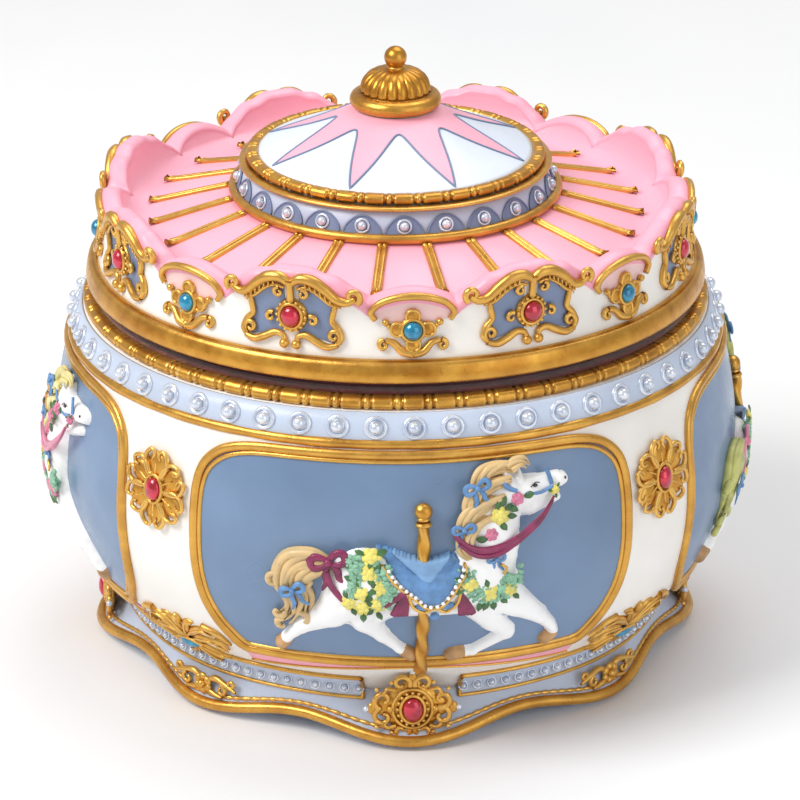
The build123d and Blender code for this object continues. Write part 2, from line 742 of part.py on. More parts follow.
def rod_x(x0, x1, y, z, radius):
    """Plain staff along X."""
    with BuildPart() as staff:
        with BuildSketch(along_x(x0, y, z)):
            Circle(radius)
        extrude(amount=x1 - x0)
    return staff.part


with BuildPart() as bedplate:
    with BuildSketch(Plane.XY.offset(BED_Z)):
        with Locations((13.25, -1)):
            RectangleRounded(56.5, 44, 3)
        Circle(ARBOR_R + 0.6, mode=Mode.SUBTRACT)
        with Locations(*SCREW_PLACES):
            Circle(SCREW_R, mode=Mode.SUBTRACT)
    extrude(amount=BED_T)
save(bedplate.part, "bedplate")

with BuildPart() as winding_arbor:
    with BuildSketch(Plane.XY.offset(3.0)):
        Circle(ARBOR_R)
    extrude(amount=22.0)
save(winding_arbor.part, "winding_arbor")

with BuildPart() as winding_key:
    with BuildSketch(Plane.XY.offset(1.6)):
        Circle(3.8)
    extrude(amount=5.6)
    for side in (-1, 1):
        with BuildSketch(Plane.XZ.offset(-1.1)):
            with Locations((side * 8.0, 4.2)):
                RectangleRounded(9.6, 5.0, 2.2)
            with Locations((side * 4.5, 4.2)):
                Rectangle(4, 3.4)
        extrude(amount=2.2)
    with BuildSketch(Plane.XY.offset(3.0)):
        Circle(ARBOR_R + GLUE)
    extrude(amount=6, mode=Mode.SUBTRACT)
save(winding_key.part, "winding_key")

with BuildPart() as spring_barrel:
    with BuildSketch(Plane.XY.offset(BARREL_Z)):
        Circle(BARREL_R)
        Circle(ARBOR_R + SHAFT_GAP, mode=Mode.SUBTRACT)
    extrude(amount=BARREL_TOP - BARREL_Z)
    with BuildSketch(Plane.XY.offset(BARREL_Z + 1)):
        Circle(BARREL_R - 1)
        Circle(ARBOR_R + SHAFT_GAP, mode=Mode.SUBTRACT)
    extrude(amount=BARREL_TOP - BARREL_Z - 2, mode=Mode.SUBTRACT)
    # crown teeth stand up from the barrel's top
    with BuildSketch(Plane.XY.offset(BARREL_TOP)):
        with PolarLocations(CROWN_PITCH_R, CROWN_TEETH, start_angle=180 / CROWN_TEETH):
            Rectangle(2.4, 0.8)
    extrude(amount=1.6, taper=8)
save(spring_barrel.part, "spring_barrel")

# mainspring: half turns of growing radius, joined end to end
with BuildPart() as mainspring:
    with BuildLine(Plane.XY.offset(BARREL_Z + 5)) as coil:
        r = 3.0
        x = -3.0
        for n in range(12):
            way = 1 if n % 2 == 0 else -1
            ThreePointArc((x, 0), (x + way * r, way * r), (x + 2 * way * r, 0))
            x += 2 * way * r
            r += 0.62
    with BuildSketch(Plane(origin=coil.line @ 0, z_dir=coil.line % 0, x_dir=(0, 0, 1))):
        Rectangle(7.0, 0.3)
    sweep(path=coil.line)
save(mainspring.part, "mainspring")

with BuildPart() as cylinder_drum:
    with BuildSketch(along_x(CYLINDER_X[0], 0, CYLINDER_Z)):
        Circle(CYLINDER_R)
        Circle(STAFF_R + GLUE, mode=Mode.SUBTRACT)
    extrude(amount=CYLINDER_X[1] - CYLINDER_X[0])

COMB_TEETH = 18
COMB_PITCH = (CYLINDER_X[1] - CYLINDER_X[0] - 1) / COMB_TEETH
pins = []
for note in range(COMB_TEETH):
    for beat in range(4):
        turn = (note * 47 + beat * 83 + beat * note * 11) % 360
        place = Plane(origin=(CYLINDER_X[0] + 0.5 + (note + 0.5) * COMB_PITCH, 0, CYLINDER_Z),
                      z_dir=(0, cos(radians(turn)), sin(radians(turn))), x_dir=(1, 0, 0))
        pins.append(place * Pos(0, 0, CYLINDER_R + GLUE + 0.2) * Cylinder(0.2, 0.4))
group("pinned_cylinder", [cylinder_drum.part, *pins])

cylinder_staff = rod_x(8.6, 40.4, 0, CYLINDER_Z, STAFF_R)
save(cylinder_staff, "cylinder_staff")
# a pinion tooth points down between two crown teeth
cylinder_pinion = along_x(9.6, 0, CYLINDER_Z) * spur(
    PINION_TEETH, 2 * PINION_PITCH_R / PINION_TEETH, 2.8, STAFF_R + GLUE, phase=-90)

TOWARDS_IDLER = -36.87  # direction from the cylinder's centre to the idler's, in the YZ plane
HALF_PINION_STEP = 180 / PINION_TEETH
cylinder_wheel = along_x(34.2, 0, CYLINDER_Z) * spur(WHEEL_TEETH, WHEEL_MODULE, 1.6, STAFF_R + GLUE,
                                                     phase=TOWARDS_IDLER)
group("cylinder_gears", [cylinder_pinion, cylinder_wheel])


def fused(*solids):
    """One solid made of touching pieces."""
    with BuildPart() as whole:
        for solid in solids:
            add(solid)
    return whole.part


save(
    fused(
        rod_x(32.1, 40.4, *IDLER_AT, 0.6),
        along_x(34.2, *IDLER_AT) * spur(PINION_TEETH, WHEEL_MODULE, 1.6, 0,
                                        phase=TOWARDS_IDLER + 180 + HALF_PINION_STEP),
        along_x(36.6, *IDLER_AT) * spur(IDLER_TEETH, IDLER_MODULE, 1.2, 0),
    ),
    "idler_gear",
)

with BuildPart() as blades:
    with BuildSketch(along_x(20.0, *FAN_AT)):
        Rectangle(11.0, 0.5)
        Circle(1.1)
    extrude(amount=11.0)
save(
    fused(
        rod_x(17.2, 40.4, *FAN_AT, 0.5),
        blades.part,
        along_x(36.6, *FAN_AT) * spur(PINION_TEETH, IDLER_MODULE, 1.2, 0, phase=180 + HALF_PINION_STEP),
    ),
    "governor_fan",
)

BEARING_TOP = CYLINDER_Z + 4


def bearing_plate(name, x, thick, y0, y1, top, holes):
    """Upright plate on the bedplate with one bearing hole for each staff in it."""
    low = BED_Z + BED_T
    with BuildPart() as plate:
        with BuildSketch(along_x(x, 0, 0)):
            with Locations(((y0 + y1) / 2, (low + top) / 2)):
                RectangleRounded(y1 - y0, top - low, 1.2)
            with Locations(((y0 + y1) / 2, low + 1)):
                Rectangle(y1 - y0, 2)
            for y, z, radius in holes:
                with Locations((y, z)):
                    Circle(radius + SHAFT_GAP, mode=Mode.SUBTRACT)
        extrude(amount=thick)
    save(plate.part, name)


three_staffs = [(0, CYLINDER_Z, STAFF_R), (*IDLER_AT, 0.6), (*FAN_AT, 0.5)]
bearing_plate("cylinder_bearing", 13.0, 1.2, -4, 4, BEARING_TOP, three_staffs[:1])
bearing_plate("governor_plate", 32.3, 1.0, -4, 19.5, BEARING_TOP, three_staffs)
bearing_plate("end_plate", 39.0, 1.0, -4, 19.5, BEARING_TOP, three_staffs)
bearing_plate("fan_bearing", 17.6, 1.0, FAN_AT[0] - 3, FAN_AT[0] + 3, FAN_AT[1] + 3, three_staffs[2:])

COMB_TIP, COMB_BACK, COMB_T = -(CYLINDER_R + 0.75), -21.0, 0.8
COMB_MIDDLE = sum(CYLINDER_X) / 2
COMB_SCREWS = [(COMB_MIDDLE - 4.5, -19), (COMB_MIDDLE + 4.5, -19)]
with BuildPart() as comb:
    with BuildSketch(Plane.XY.offset(CYLINDER_Z)):
        with Locations((COMB_MIDDLE, (COMB_TIP + COMB_BACK) / 2)):
            Rectangle(COMB_PITCH * COMB_TEETH, COMB_TIP - COMB_BACK)
        for n in range(1, COMB_TEETH):
            slot_length = 6.5 + 2.2 * n / COMB_TEETH
            with Locations((CYLINDER_X[0] + 0.5 + n * COMB_PITCH, COMB_TIP - slot_length / 2)):
                Rectangle(0.22, slot_length, mode=Mode.SUBTRACT)
        with Locations(*COMB_SCREWS):
            Circle(0.9, mode=Mode.SUBTRACT)
    extrude(amount=COMB_T)
save(comb.part, "comb")

with BuildPart() as comb_base:
    with BuildSketch(Plane.XY.offset(BED_Z + BED_T)):
        with Locations((COMB_MIDDLE, -19)):
            Rectangle(COMB_PITCH * COMB_TEETH, 4)
        with Locations(*COMB_SCREWS):
            Circle(0.9, mode=Mode.SUBTRACT)
    extrude(amount=CYLINDER_Z - BED_Z - BED_T)
save(comb_base.part, "comb_base")

with BuildPart() as comb_screw:
    with BuildSketch(Plane.XY.offset(CYLINDER_Z - 4)):
        Circle(0.9 - GLUE)
    extrude(amount=4 + COMB_T)
    with BuildSketch(Plane.XY.offset(CYLINDER_Z + COMB_T + GLUE)):
        Circle(1.7)
        Rectangle(3.6, 0.4, mode=Mode.SUBTRACT)
    extrude(amount=1.1)
    with BuildSketch(Plane.XY.offset(CYLINDER_Z + COMB_T)):
        Circle(0.8)
    extrude(amount=0.8)
group("comb_screws", [Pos(x, y, 0) * comb_screw.part for x, y in COMB_SCREWS])
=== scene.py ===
"""Looks of the carousel music box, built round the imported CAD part.

Shapes are worked out in millimetres and turned into metres when a piece is made. Angles run in degrees from
the front (-Y) towards +X. "Lift" is how far a point stands out of the wall behind it.
"""

import random
from math import atan2, cos, exp, hypot, pi, radians, sin, sqrt

import bpy
import numpy as np
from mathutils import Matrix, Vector


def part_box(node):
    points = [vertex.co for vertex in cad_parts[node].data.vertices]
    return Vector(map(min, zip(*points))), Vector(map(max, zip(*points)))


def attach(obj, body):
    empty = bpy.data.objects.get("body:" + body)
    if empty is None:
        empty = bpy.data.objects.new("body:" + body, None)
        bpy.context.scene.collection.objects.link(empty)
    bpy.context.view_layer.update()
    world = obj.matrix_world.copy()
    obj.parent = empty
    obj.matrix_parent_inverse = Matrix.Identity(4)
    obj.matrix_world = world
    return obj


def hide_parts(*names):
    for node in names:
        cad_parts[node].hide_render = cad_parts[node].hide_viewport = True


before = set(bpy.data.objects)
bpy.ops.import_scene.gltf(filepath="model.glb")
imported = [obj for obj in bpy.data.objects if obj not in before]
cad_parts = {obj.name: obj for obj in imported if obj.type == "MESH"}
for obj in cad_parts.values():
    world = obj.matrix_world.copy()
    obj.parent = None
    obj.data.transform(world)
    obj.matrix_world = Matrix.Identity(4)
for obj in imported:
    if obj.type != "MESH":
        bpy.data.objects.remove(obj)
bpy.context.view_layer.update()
MM = 0.001
RANDOM = random.Random(7)
FRONT, RIGHT, BACK, LEFT = 0, 90, 180, 270
SIDES = {"front": FRONT, "right": RIGHT, "back": BACK, "left": LEFT}
EVERY_SIDE = tuple(SIDES.values())
EVERY_EIGHTH = tuple(range(0, 360, 45))


def box_mm(node):
    """Lowest and highest corner of a CAD node, in millimetres."""
    low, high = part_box(node)
    return np.array(low) / MM, np.array(high) / MM


# ---------------------------------------------------------------- sizes taken from the frame

CASE_LOW, CASE_HIGH = box_mm("case_shell")
RIM_LOW, RIM_HIGH = box_mm("case_rim")
BAND_LOW, BAND_HIGH = box_mm("crown_band")
DISC_LOW, DISC_HIGH = box_mm("disc_rim")
TOP_LOW, TOP_HIGH = box_mm("finial")
CASE_Z0, MOUTH_Z = CASE_LOW[2], CASE_HIGH[2]
RIM_R, RIM_TOP = RIM_HIGH[0], RIM_HIGH[2]
BAND_Z0, BAND_Z1 = BAND_LOW[2], BAND_HIGH[2]
FINIAL_Z, FINIAL_TOP = TOP_LOW[2], TOP_HIGH[2]


class Face:
    """A turned face given by a few (radius, height) points, joined by a smooth curve."""

    def __init__(self, points):
        self.r = np.array([p[0] for p in points], float)
        self.z = np.array([p[1] for p in points], float)
        n = len(points)
        gaps = np.diff(self.z)
        system, right = np.eye(n), np.zeros(n)
        for i in range(1, n - 1):
            system[i, i - 1:i + 2] = gaps[i - 1], 2 * (gaps[i - 1] + gaps[i]), gaps[i]
            slope = (self.r[i] - self.r[i - 1]) / gaps[i - 1]
            right[i] = 6 * ((self.r[i + 1] - self.r[i]) / gaps[i] - slope)
        self.bend = np.linalg.solve(system, right)

    def radius(self, z):
        """Radius at a height; it stays constant past the ends."""
        z = np.clip(np.asarray(z, float), self.z[0], self.z[-1])
        i = np.clip(np.searchsorted(self.z, z, side="right") - 1, 0, len(self.z) - 2)
        h = self.z[i + 1] - self.z[i]
        a, b = (self.z[i + 1] - z) / h, (z - self.z[i]) / h
        curve = (a ** 3 - a) * self.bend[i] + (b ** 3 - b) * self.bend[i + 1]
        return a * self.r[i] + b * self.r[i + 1] + curve * h * h / 6

    def place(self, angle, z, lift=0.0):
        """Points at an angle and a height, standing out of the face by lift."""
        z = np.asarray(z, float)
        slope = (self.radius(z + 0.05) - self.radius(z - 0.05)) / 0.1
        length = np.sqrt(1 + slope * slope)
        r = self.radius(z) + lift / length
        up = z - lift * slope / length
        a = np.radians(angle)
        return np.stack(np.broadcast_arrays(r * np.sin(a), -r * np.cos(a), up), axis=-1)


BOWL = Face([(61.8, CASE_Z0), (66.0, 17.0), (70.4, 22.0), (73.6, 28.0), (76.6, 36.5), (78.3, 48.5),
    (77.7, 58.0), (76.2, 67.0), (74.4, 74.0)])
BAND = Face([(74.4, 74.0), (73.0, 77.8), (71.6, MOUTH_Z)])
CROWN = Face([(67.5, BAND_Z1), (66.3, 97.0), (66.0, 102.0), (66.5, 107.0), (67.0, 112.0)])
PANEL_R, CROWN_R = 78.0, 67.0  # radii at which widths along the walls are measured


# ---------------------------------------------------------------- mesh building


class Clay:
    """Gathers the vertices and faces of one piece."""

    def __init__(self):
        self.verts, self.faces = [], []

    def add(self, verts, faces):
        """Adds a mesh to the piece."""
        base = len(self.verts)
        self.verts.extend(map(tuple, verts))
        self.faces.extend(tuple(i + base for i in face) for face in faces)
        return self

    def turned(self, *angles):
        """Copies of everything, turned about the axis of the box."""
        out = Clay()
        points = np.array(self.verts)
        for angle in angles:
            c, s = cos(radians(angle)), sin(radians(angle))
            spun = np.stack((points[:, 0] * c - points[:, 1] * s, points[:, 0] * s + points[:, 1] * c,
                points[:, 2]), axis=1)
            out.add(spun, self.faces)
        return out

    def rod(self, wall, points, radius, lift=0.0, **more):
        """Adds a rod laid on a wall."""
        return self.add(*wall.tube(points, radius, lift, **more))

    def bead(self, wall, x, z, size, lift=0.0, turn=0.0, **more):
        """Adds an ellipsoid on a wall."""
        return self.add(*wall.ball(x, z, size, lift, turn, **more))

    def piece(self, name, material, body, replaces=(), slot=None):
        """Makes the Blender object with its material and hangs it on its CAD body; the slot argument is not
        used.
        """
        mesh = bpy.data.meshes.new(name)
        mesh.from_pydata([(x * MM, y * MM, z * MM) for x, y, z in self.verts], [], self.faces)
        mesh.validate()
        mesh.polygons.foreach_set("use_smooth", [True] * len(mesh.polygons))
        mesh.materials.append(material)
        made = bpy.data.objects.new(name, mesh)
        bpy.context.scene.collection.objects.link(made)
        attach(made, body)
        if replaces:
            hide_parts(*([replaces] if isinstance(replaces, str) else replaces))
        return made

    def sides(self, name, material, replaces=()):
        """The piece on all four sides of the case."""
        return self.turned(*EVERY_SIDE).piece(name, material, "case", replaces)

    def eighths(self, name, material, replaces=()):
        """The piece at every eighth of the lid."""
        return self.turned(*EVERY_EIGHTH).piece(name, material, "lid", replaces)


def on_ring(angle, radius, z):
    """The point at an angle, a radius and a height."""
    a = radians(angle)
    return (radius * sin(a), -radius * cos(a), z)


def grid(points, wrap_u=False, wrap_v=False):
    """Vertices and faces of a sheet of points[u][v]."""
    points = np.asarray(points, float)
    nu, nv = points.shape[:2]
    faces = []
    for u in range(nu if wrap_u else nu - 1):
        for v in range(nv if wrap_v else nv - 1):
            u1, v1 = (u + 1) % nu, (v + 1) % nv
            faces.append((u * nv + v, u1 * nv + v, u1 * nv + v1, u * nv + v1))
    return points.reshape(-1, 3), faces


def ring_angles(count):
    """Evenly spaced angles round the box."""
    return np.arange(count) * 360.0 / count


def lathe(outline, count=192, closed=True):
    """A turned body from (radius, height) points; outline may be a function of the angle."""
    rows = []
    for angle in ring_angles(count):
        profile = np.array(outline(angle) if callable(outline) else outline, float)
        a = radians(angle)
        rows.append(np.stack((profile[:, 0] * sin(a), -profile[:, 0] * cos(a), profile[:, 1]), axis=1))
    return grid(rows, wrap_u=True, wrap_v=closed)


def smooth_path(points, per_span=6, closed=False):
    """Catmull-Rom curve through a few points."""
    p = np.array(points, float)
    n = len(p)
    spans = range(n if closed else n - 1)
    out = []
    for i in spans:
        if closed:
            p0, p1, p2, p3 = p[(i - 1) % n], p[i], p[(i + 1) % n], p[(i + 2) % n]
        else:
            p0, p1, p2, p3 = p[max(i - 1, 0)], p[i], p[i + 1], p[min(i + 2, n - 1)]
        for k in range(per_span):
            t = k / per_span
            out.append(0.5 * (2 * p1 + (p2 - p0) * t + (2 * p0 - 5 * p1 + 4 * p2 - p3) * t * t
                + (3 * p1 - p0 - 3 * p2 + p3) * t ** 3))
    if not closed:
        out.append(p[-1])
    return np.array(out)


def tube(path, radius, sides=8, closed=False, flat=1.0, twist=None):
    """A rod along a path. radius may be one number or one for each point; flat squashes it across."""
    path = np.asarray(path, float)
    n = len(path)
    radius = np.broadcast_to(np.asarray(radius, float), (n,))
    ahead = np.roll(path, -1, 0) if closed else np.vstack((path[1:], path[-1:]))
    behind = np.roll(path, 1, 0) if closed else np.vstack((path[:1], path[:-1]))
    tangent = ahead - behind
    tangent /= np.linalg.norm(tangent, axis=1)[:, None] + 1e-12
    outward = path * (1, 1, 0)
    outward /= np.linalg.norm(outward, axis=1)[:, None] + 1e-9
    side = np.cross(tangent, outward)
    length = np.linalg.norm(side, axis=1)
    side[length < 1e-6] = (1, 0, 0)
    side /= np.linalg.norm(side, axis=1)[:, None]
    out = np.cross(side, tangent)
    rows = []
    for k in range(n):
        a = np.linspace(0, 2 * pi, sides, endpoint=False)
        r = radius[k] * (twist(a, k / max(n - 1, 1)) if twist else 1.0)
        rows.append(path[k] + np.outer(np.cos(a) * r, side[k]) + np.outer(np.sin(a) * r * flat, out[k]))
    verts, faces = grid(rows, wrap_u=closed, wrap_v=True)
    if not closed:
        faces = faces + [tuple(range(sides))[::-1], tuple((n - 1) * sides + i for i in range(sides))]
    return verts, faces


def ball(centre, size, normal=(0, 0, 1), turn=0.0, seg=14, rings=8):
    """An ellipsoid: size is (across, along, out) half-widths, out along the normal."""
    n = Vector(normal).normalized()
    flat = Vector((-n.y, n.x, 0)) if abs(n.z) < 0.999 else Vector((1, 0, 0))
    across = flat.normalized()
    along = n.cross(across)
    c, s = cos(turn), sin(turn)
    across, along = across * c + along * s, along * c - across * s
    axes = np.array((across, along, n)) * np.array(size, float)[:, None]
    verts = [np.array(centre) - axes[2]]
    for i in range(1, rings):
        polar = pi * i / rings
        for j in range(seg):
            a = 2 * pi * j / seg
            verts.append(np.array(centre) + axes[0] * sin(polar) * cos(a)
                + axes[1] * sin(polar) * sin(a) - axes[2] * cos(polar))
    verts.append(np.array(centre) + axes[2])
    faces = [(0, 1 + (j + 1) % seg, 1 + j) for j in range(seg)]
    for i in range(rings - 2):
        for j in range(seg):
            a, b = 1 + i * seg + j, 1 + i * seg + (j + 1) % seg
            faces.append((a, b, b + seg, a + seg))
    last, top = 1 + (rings - 2) * seg, len(verts) - 1
    faces += [(last + j, last + (j + 1) % seg, top) for j in range(seg)]
    return verts, faces


class Wall:
    """A patch of a turned face seen flat: x runs along it in mm from a centre angle, z is height."""

    def __init__(self, face, reach, centre=0.0):
        self.face, self.reach, self.centre = face, reach, centre

    def at(self, x, z, lift=0.0):
        """Points in space from flat ones."""
        x, z = np.asarray(x, float), np.asarray(z, float)
        return self.face.place(self.centre + np.degrees(x / self.reach), z, lift)

    def strip(self, x, low, high, lift, count, way=1):
        """A thin sheet between two heights for every x; way is -1 where x runs leftward."""
        rows = [self.at(x, low + (high - low) * t, lift) for t in np.linspace(0, 1, count)]
        return grid(np.transpose(rows, (1, 0, 2))[::way])

    def normal(self, x, z):
        """Direction straight out of the wall."""
        return self.at(x, z, 1.0) - self.at(x, z, 0.0)

    def tube(self, points, radius, lift=0.0, closed=False, per_span=6, **more):
        """A rod laid on the wall through flat (x, z) points."""
        flat = smooth_path(points, per_span, closed)
        if np.ndim(radius):
            spots = np.linspace(0, 1, len(radius))
            radius = np.interp(np.linspace(0, 1, len(flat)), spots, radius)
        return tube(self.at(flat[:, 0], flat[:, 1], lift), radius, closed=closed, **more)

    def ball(self, x, z, size, lift=0.0, turn=0.0, **more):
        """An ellipsoid on the wall; size is (across, up, out)."""
        size = (size, size, size) if np.isscalar(size) else size
        return ball(self.at(x, z, lift), size, self.normal(x, z), turn, **more)

    def field(self, height, x0, x1, z0, z1, step=0.3, floor=-0.25):
        """A carved relief: the sheet of every point whose height is above floor."""
        xs, zs = np.arange(x0, x1 + step, step), np.arange(z0, z1 + step, step)
        gx, gz = np.meshgrid(xs, zs, indexing="ij")
        h = height(gx, gz)
        points = self.at(gx, gz, np.maximum(h, floor)).reshape(-1, 3)
        inside = h > floor
        keep = inside[:-1, :-1] | inside[1:, :-1] | inside[:-1, 1:] | inside[1:, 1:]
        index = -np.ones(gx.shape, int)
        faces = []
        used = []
        for i, j in np.argwhere(keep):
            corner = []
            for a, b in ((i, j), (i + 1, j), (i + 1, j + 1), (i, j + 1)):
                if index[a, b] < 0:
                    index[a, b] = len(used)
                    used.append(a * gx.shape[1] + b)
                corner.append(index[a, b])
            faces.append(tuple(corner))
        return points[used], faces


def swell(d, height):
    """Round-topped height across a shape: d is 0 in the middle and 1 at its edge, and drops outside."""
    inside = height * np.sqrt(np.clip(1 - np.clip(d, 0, 1) ** 2, 0, 1))
    return np.where(d < 1, inside, -(d - 1) * 2.0)


def bar_height(x, z, bar):
    """Height of one tapered bar (x0, z0, r0, h0, x1, z1, r1, h1)."""
    x0, z0, r0, h0, x1, z1, r1, h1 = bar
    dx, dz = x1 - x0, z1 - z0
    t = np.clip(((x - x0) * dx + (z - z0) * dz) / (dx * dx + dz * dz), 0, 1)
    far = np.hypot(x - x0 - t * dx, z - z0 - t * dz)
    return swell(far / (r0 + (r1 - r0) * t), h0 + (h1 - h0) * t)


def soft_max(heights, blend=0.45):
    """Highest of several heights, with the joins rounded."""
    stack = np.array(heights) / blend
    top = stack.max(0)
    return blend * (top + np.log(np.exp(stack - top).sum(0)))


# ---------------------------------------------------------------- materials


def screen(red, green, blue):
    """Linear colour from 0-255 screen values."""
    return tuple(((c / 255 + 0.055) / 1.055) ** 2.4 for c in (red, green, blue)) + (1.0,)


def finish(name, light, dark, rough=0.45, metal=0.0, coat=0.0, cloud=70.0, grain=1500.0, bump=0.12,
           hollow=None, edge=None, sheen=0.0):
    """A painted, plated or flocked surface: clouded colour, painted shade in the hollows, a painted
    highlight on sharp raised edges, fine grain.
    """
    light, dark, hollow, edge = (tint and screen(*tint) for tint in (light, dark, hollow, edge))
    mat = bpy.data.materials.new(name)
    mat.use_nodes = True
    nodes, links = mat.node_tree.nodes, mat.node_tree.links
    shader = nodes["Principled BSDF"]
    shader.inputs["Metallic"].default_value = metal
    shader.inputs["Coat Weight"].default_value = coat
    shader.inputs["Coat Roughness"].default_value = 0.12
    shader.inputs["Sheen Weight"].default_value = sheen
    place = nodes.new("ShaderNodeTexCoord")

    def noise(scale, detail):
        node = nodes.new("ShaderNodeTexNoise")
        node.inputs["Scale"].default_value = scale
        node.inputs["Detail"].default_value = detail
        links.new(place.outputs["Object"], node.inputs["Vector"])
        return node.outputs["Fac"]

    def ranged(value, low, high, to_low=0.0, to_high=1.0):
        node = nodes.new("ShaderNodeMapRange")
        for key, number in (("From Min", low), ("From Max", high), ("To Min", to_low), ("To Max", to_high)):
            node.inputs[key].default_value = number
        links.new(value, node.inputs["Value"])
        return node.outputs["Result"]

    def mixed(share, first, second):
        node = nodes.new("ShaderNodeMix")
        node.data_type = "RGBA"
        links.new(share, node.inputs["Factor"])
        for socket, value in ((node.inputs["A"], first), (node.inputs["B"], second)):
            if isinstance(value, tuple):
                socket.default_value = value
            else:
                links.new(value, socket)
        return node.outputs["Result"]

    colour = mixed(ranged(noise(cloud, 4.0), 0.35, 0.65), light, dark)
    # Painted light: the hollow colour is painted shade that darkens concave places, and the edge colour is
    # a painted highlight on sharp raised edges.
    if hollow or edge:
        relief = nodes.new("ShaderNodeNewGeometry").outputs["Pointiness"]
        if hollow:
            colour = mixed(ranged(relief, 0.49, 0.42), colour, hollow)
        if edge:
            colour = mixed(ranged(relief, 0.52, 0.60, 0.0, 0.7), colour, edge)
    links.new(colour, shader.inputs["Base Color"])
    patchy = noise(cloud * 3, 3.0)
    links.new(ranged(patchy, 0.3, 0.7, max(rough - 0.09, 0.03), rough + 0.09), shader.inputs["Roughness"])
    raised = nodes.new("ShaderNodeBump")
    raised.inputs["Strength"].default_value = bump
    raised.inputs["Distance"].default_value = 0.0002
    links.new(noise(grain, 3.0), raised.inputs["Height"])
    links.new(raised.outputs["Normal"], shader.inputs["Normal"])
    return mat


def paint(name, colour, shade=0.88, **more):
    """Hand-painted resin with a slightly darker cloud of the same colour."""
    dark = [c * shade for c in colour]
    return finish(name, colour, dark, **{"rough": 0.42, "coat": 0.15, "cloud": 45.0, **more})


# Gold: the hollow colour is partly the dark antique wash and partly painted shade; the edge colour is a
# painted highlight on raised edges.
GOLD = finish("antique_gold", (212, 156, 62), (178, 118, 36), rough=0.33, metal=0.8, cloud=160.0,
    grain=900.0, bump=0.3, hollow=(84, 46, 12), edge=(246, 204, 116))
# The hollow colours of the paints below and of the pearl are painted shade in their hollows.
CREAM = paint("cream_paint", (246, 243, 238), 0.96, hollow=(205, 200, 196))
PERIWINKLE = paint("periwinkle_paint", (112, 138, 172), 0.92, rough=0.36, coat=0.25, hollow=(78, 100, 136))
BAND_BLUE = paint("pale_blue_paint", (196, 208, 229), 0.94, hollow=(150, 165, 195))
APRON_BLUE = paint("apron_blue_paint", (192, 203, 224), 0.92, hollow=(140, 152, 180))
GREY_BLUE = paint("grey_blue_paint", (122, 138, 172), 0.88, hollow=(80, 92, 126))
PALE_PINK = paint("pale_pink_paint", (246, 206, 204), 0.94)
PINK = paint("canopy_pink_paint", (252, 176, 196), 0.96, rough=0.48, hollow=(236, 150, 176))
DISC_WHITE = paint("disc_white_paint", (222, 230, 244), 0.95)
PEARL = finish("pearl_paint", (226, 232, 242), (196, 206, 224), rough=0.24, metal=0.45, coat=0.6,
    cloud=300.0, bump=0.05, hollow=(130, 142, 168))
RUBY = finish("ruby_stone", (216, 30, 66), (160, 10, 40), rough=0.12, metal=0.35, coat=1.0, cloud=420.0,
    bump=0.02)
TEAL = finish("teal_stone", (30, 158, 196), (6, 108, 150), rough=0.12, metal=0.35, coat=1.0, cloud=420.0,
    bump=0.02)
HORSE_WHITE = paint("horse_white_paint", (250, 250, 250), 0.95, rough=0.4, coat=0.3, hollow=(188, 196,
    214))
# Tan hair: the hollow colour is painted shade and the edge colour is a painted highlight on the raised
# locks.
TAN_HAIR = paint("tan_hair_paint", (210, 166, 104), 0.74, cloud=260.0, hollow=(142, 98, 48),
    edge=(240, 214, 160))
STRAW_HAIR = paint("straw_hair_paint", (240, 226, 156), 0.86, cloud=260.0, hollow=(176, 150, 74))
OLIVE_HAIR = paint("olive_hair_paint", (206, 206, 120), 0.8, cloud=260.0, hollow=(120, 124, 56))
HOOF = paint("hoof_paint", (206, 158, 104), 0.8, cloud=300.0, hollow=(130, 84, 44))
GARLAND = paint("garland_green_paint", (150, 204, 172), 0.8, cloud=700.0, grain=2200.0, bump=0.8,
    hollow=(74, 136, 110))
BLANKET = paint("blanket_blue_paint", (104, 152, 206), 0.84, cloud=380.0, grain=2600.0, bump=0.5,
    hollow=(58, 100, 160))
SADDLE = paint("saddle_blue_paint", (128, 170, 214), 0.9, cloud=300.0, hollow=(92, 140, 190))
MAROON = paint("maroon_ribbon_paint", (150, 44, 92), 0.74, rough=0.34, cloud=300.0, hollow=(84, 16, 44))
ROSE_PINK = paint("pink_ribbon_paint", (228, 132, 166), 0.84, rough=0.34, cloud=300.0, hollow=(176, 78,
    118))
YELLOW = paint("yellow_rose_paint", (244, 230, 120), 0.88, cloud=400.0, hollow=(204, 168, 52))
LEAF = paint("leaf_green_paint", (74, 122, 66), 0.66, cloud=400.0, hollow=(66, 104, 66))
VIOLET = paint("violet_flower_paint", (150, 124, 196), 0.84, cloud=400.0, hollow=(96, 70, 146))
DARK = paint("dark_eye_paint", (44, 32, 30), 0.7, rough=0.2, coat=0.8)
FLOCK = finish("maroon_flock", (92, 18, 34), (62, 8, 20), rough=0.55, coat=0.5, cloud=220.0, grain=5200.0,
    bump=0.6, sheen=0.5)
FELT = finish("green_felt", (60, 84, 66), (40, 60, 46), rough=0.9, cloud=400.0, grain=6000.0, bump=0.8,
    sheen=0.4)
# Brass: the hollow colour is painted shade in its hollows.
BRASS = finish("brass", (212, 176, 100), (180, 140, 68), rough=0.28, metal=1.0, cloud=240.0, grain=2400.0,
    bump=0.1, hollow=(120, 88, 38))
STEEL = finish("steel", (186, 188, 192), (150, 152, 158), rough=0.3, metal=1.0, cloud=300.0, grain=2600.0,
    bump=0.1)
BOARD = finish("bottom_board", (64, 50, 44), (46, 36, 32), rough=0.75, cloud=120.0, grain=3000.0, bump=0.5)

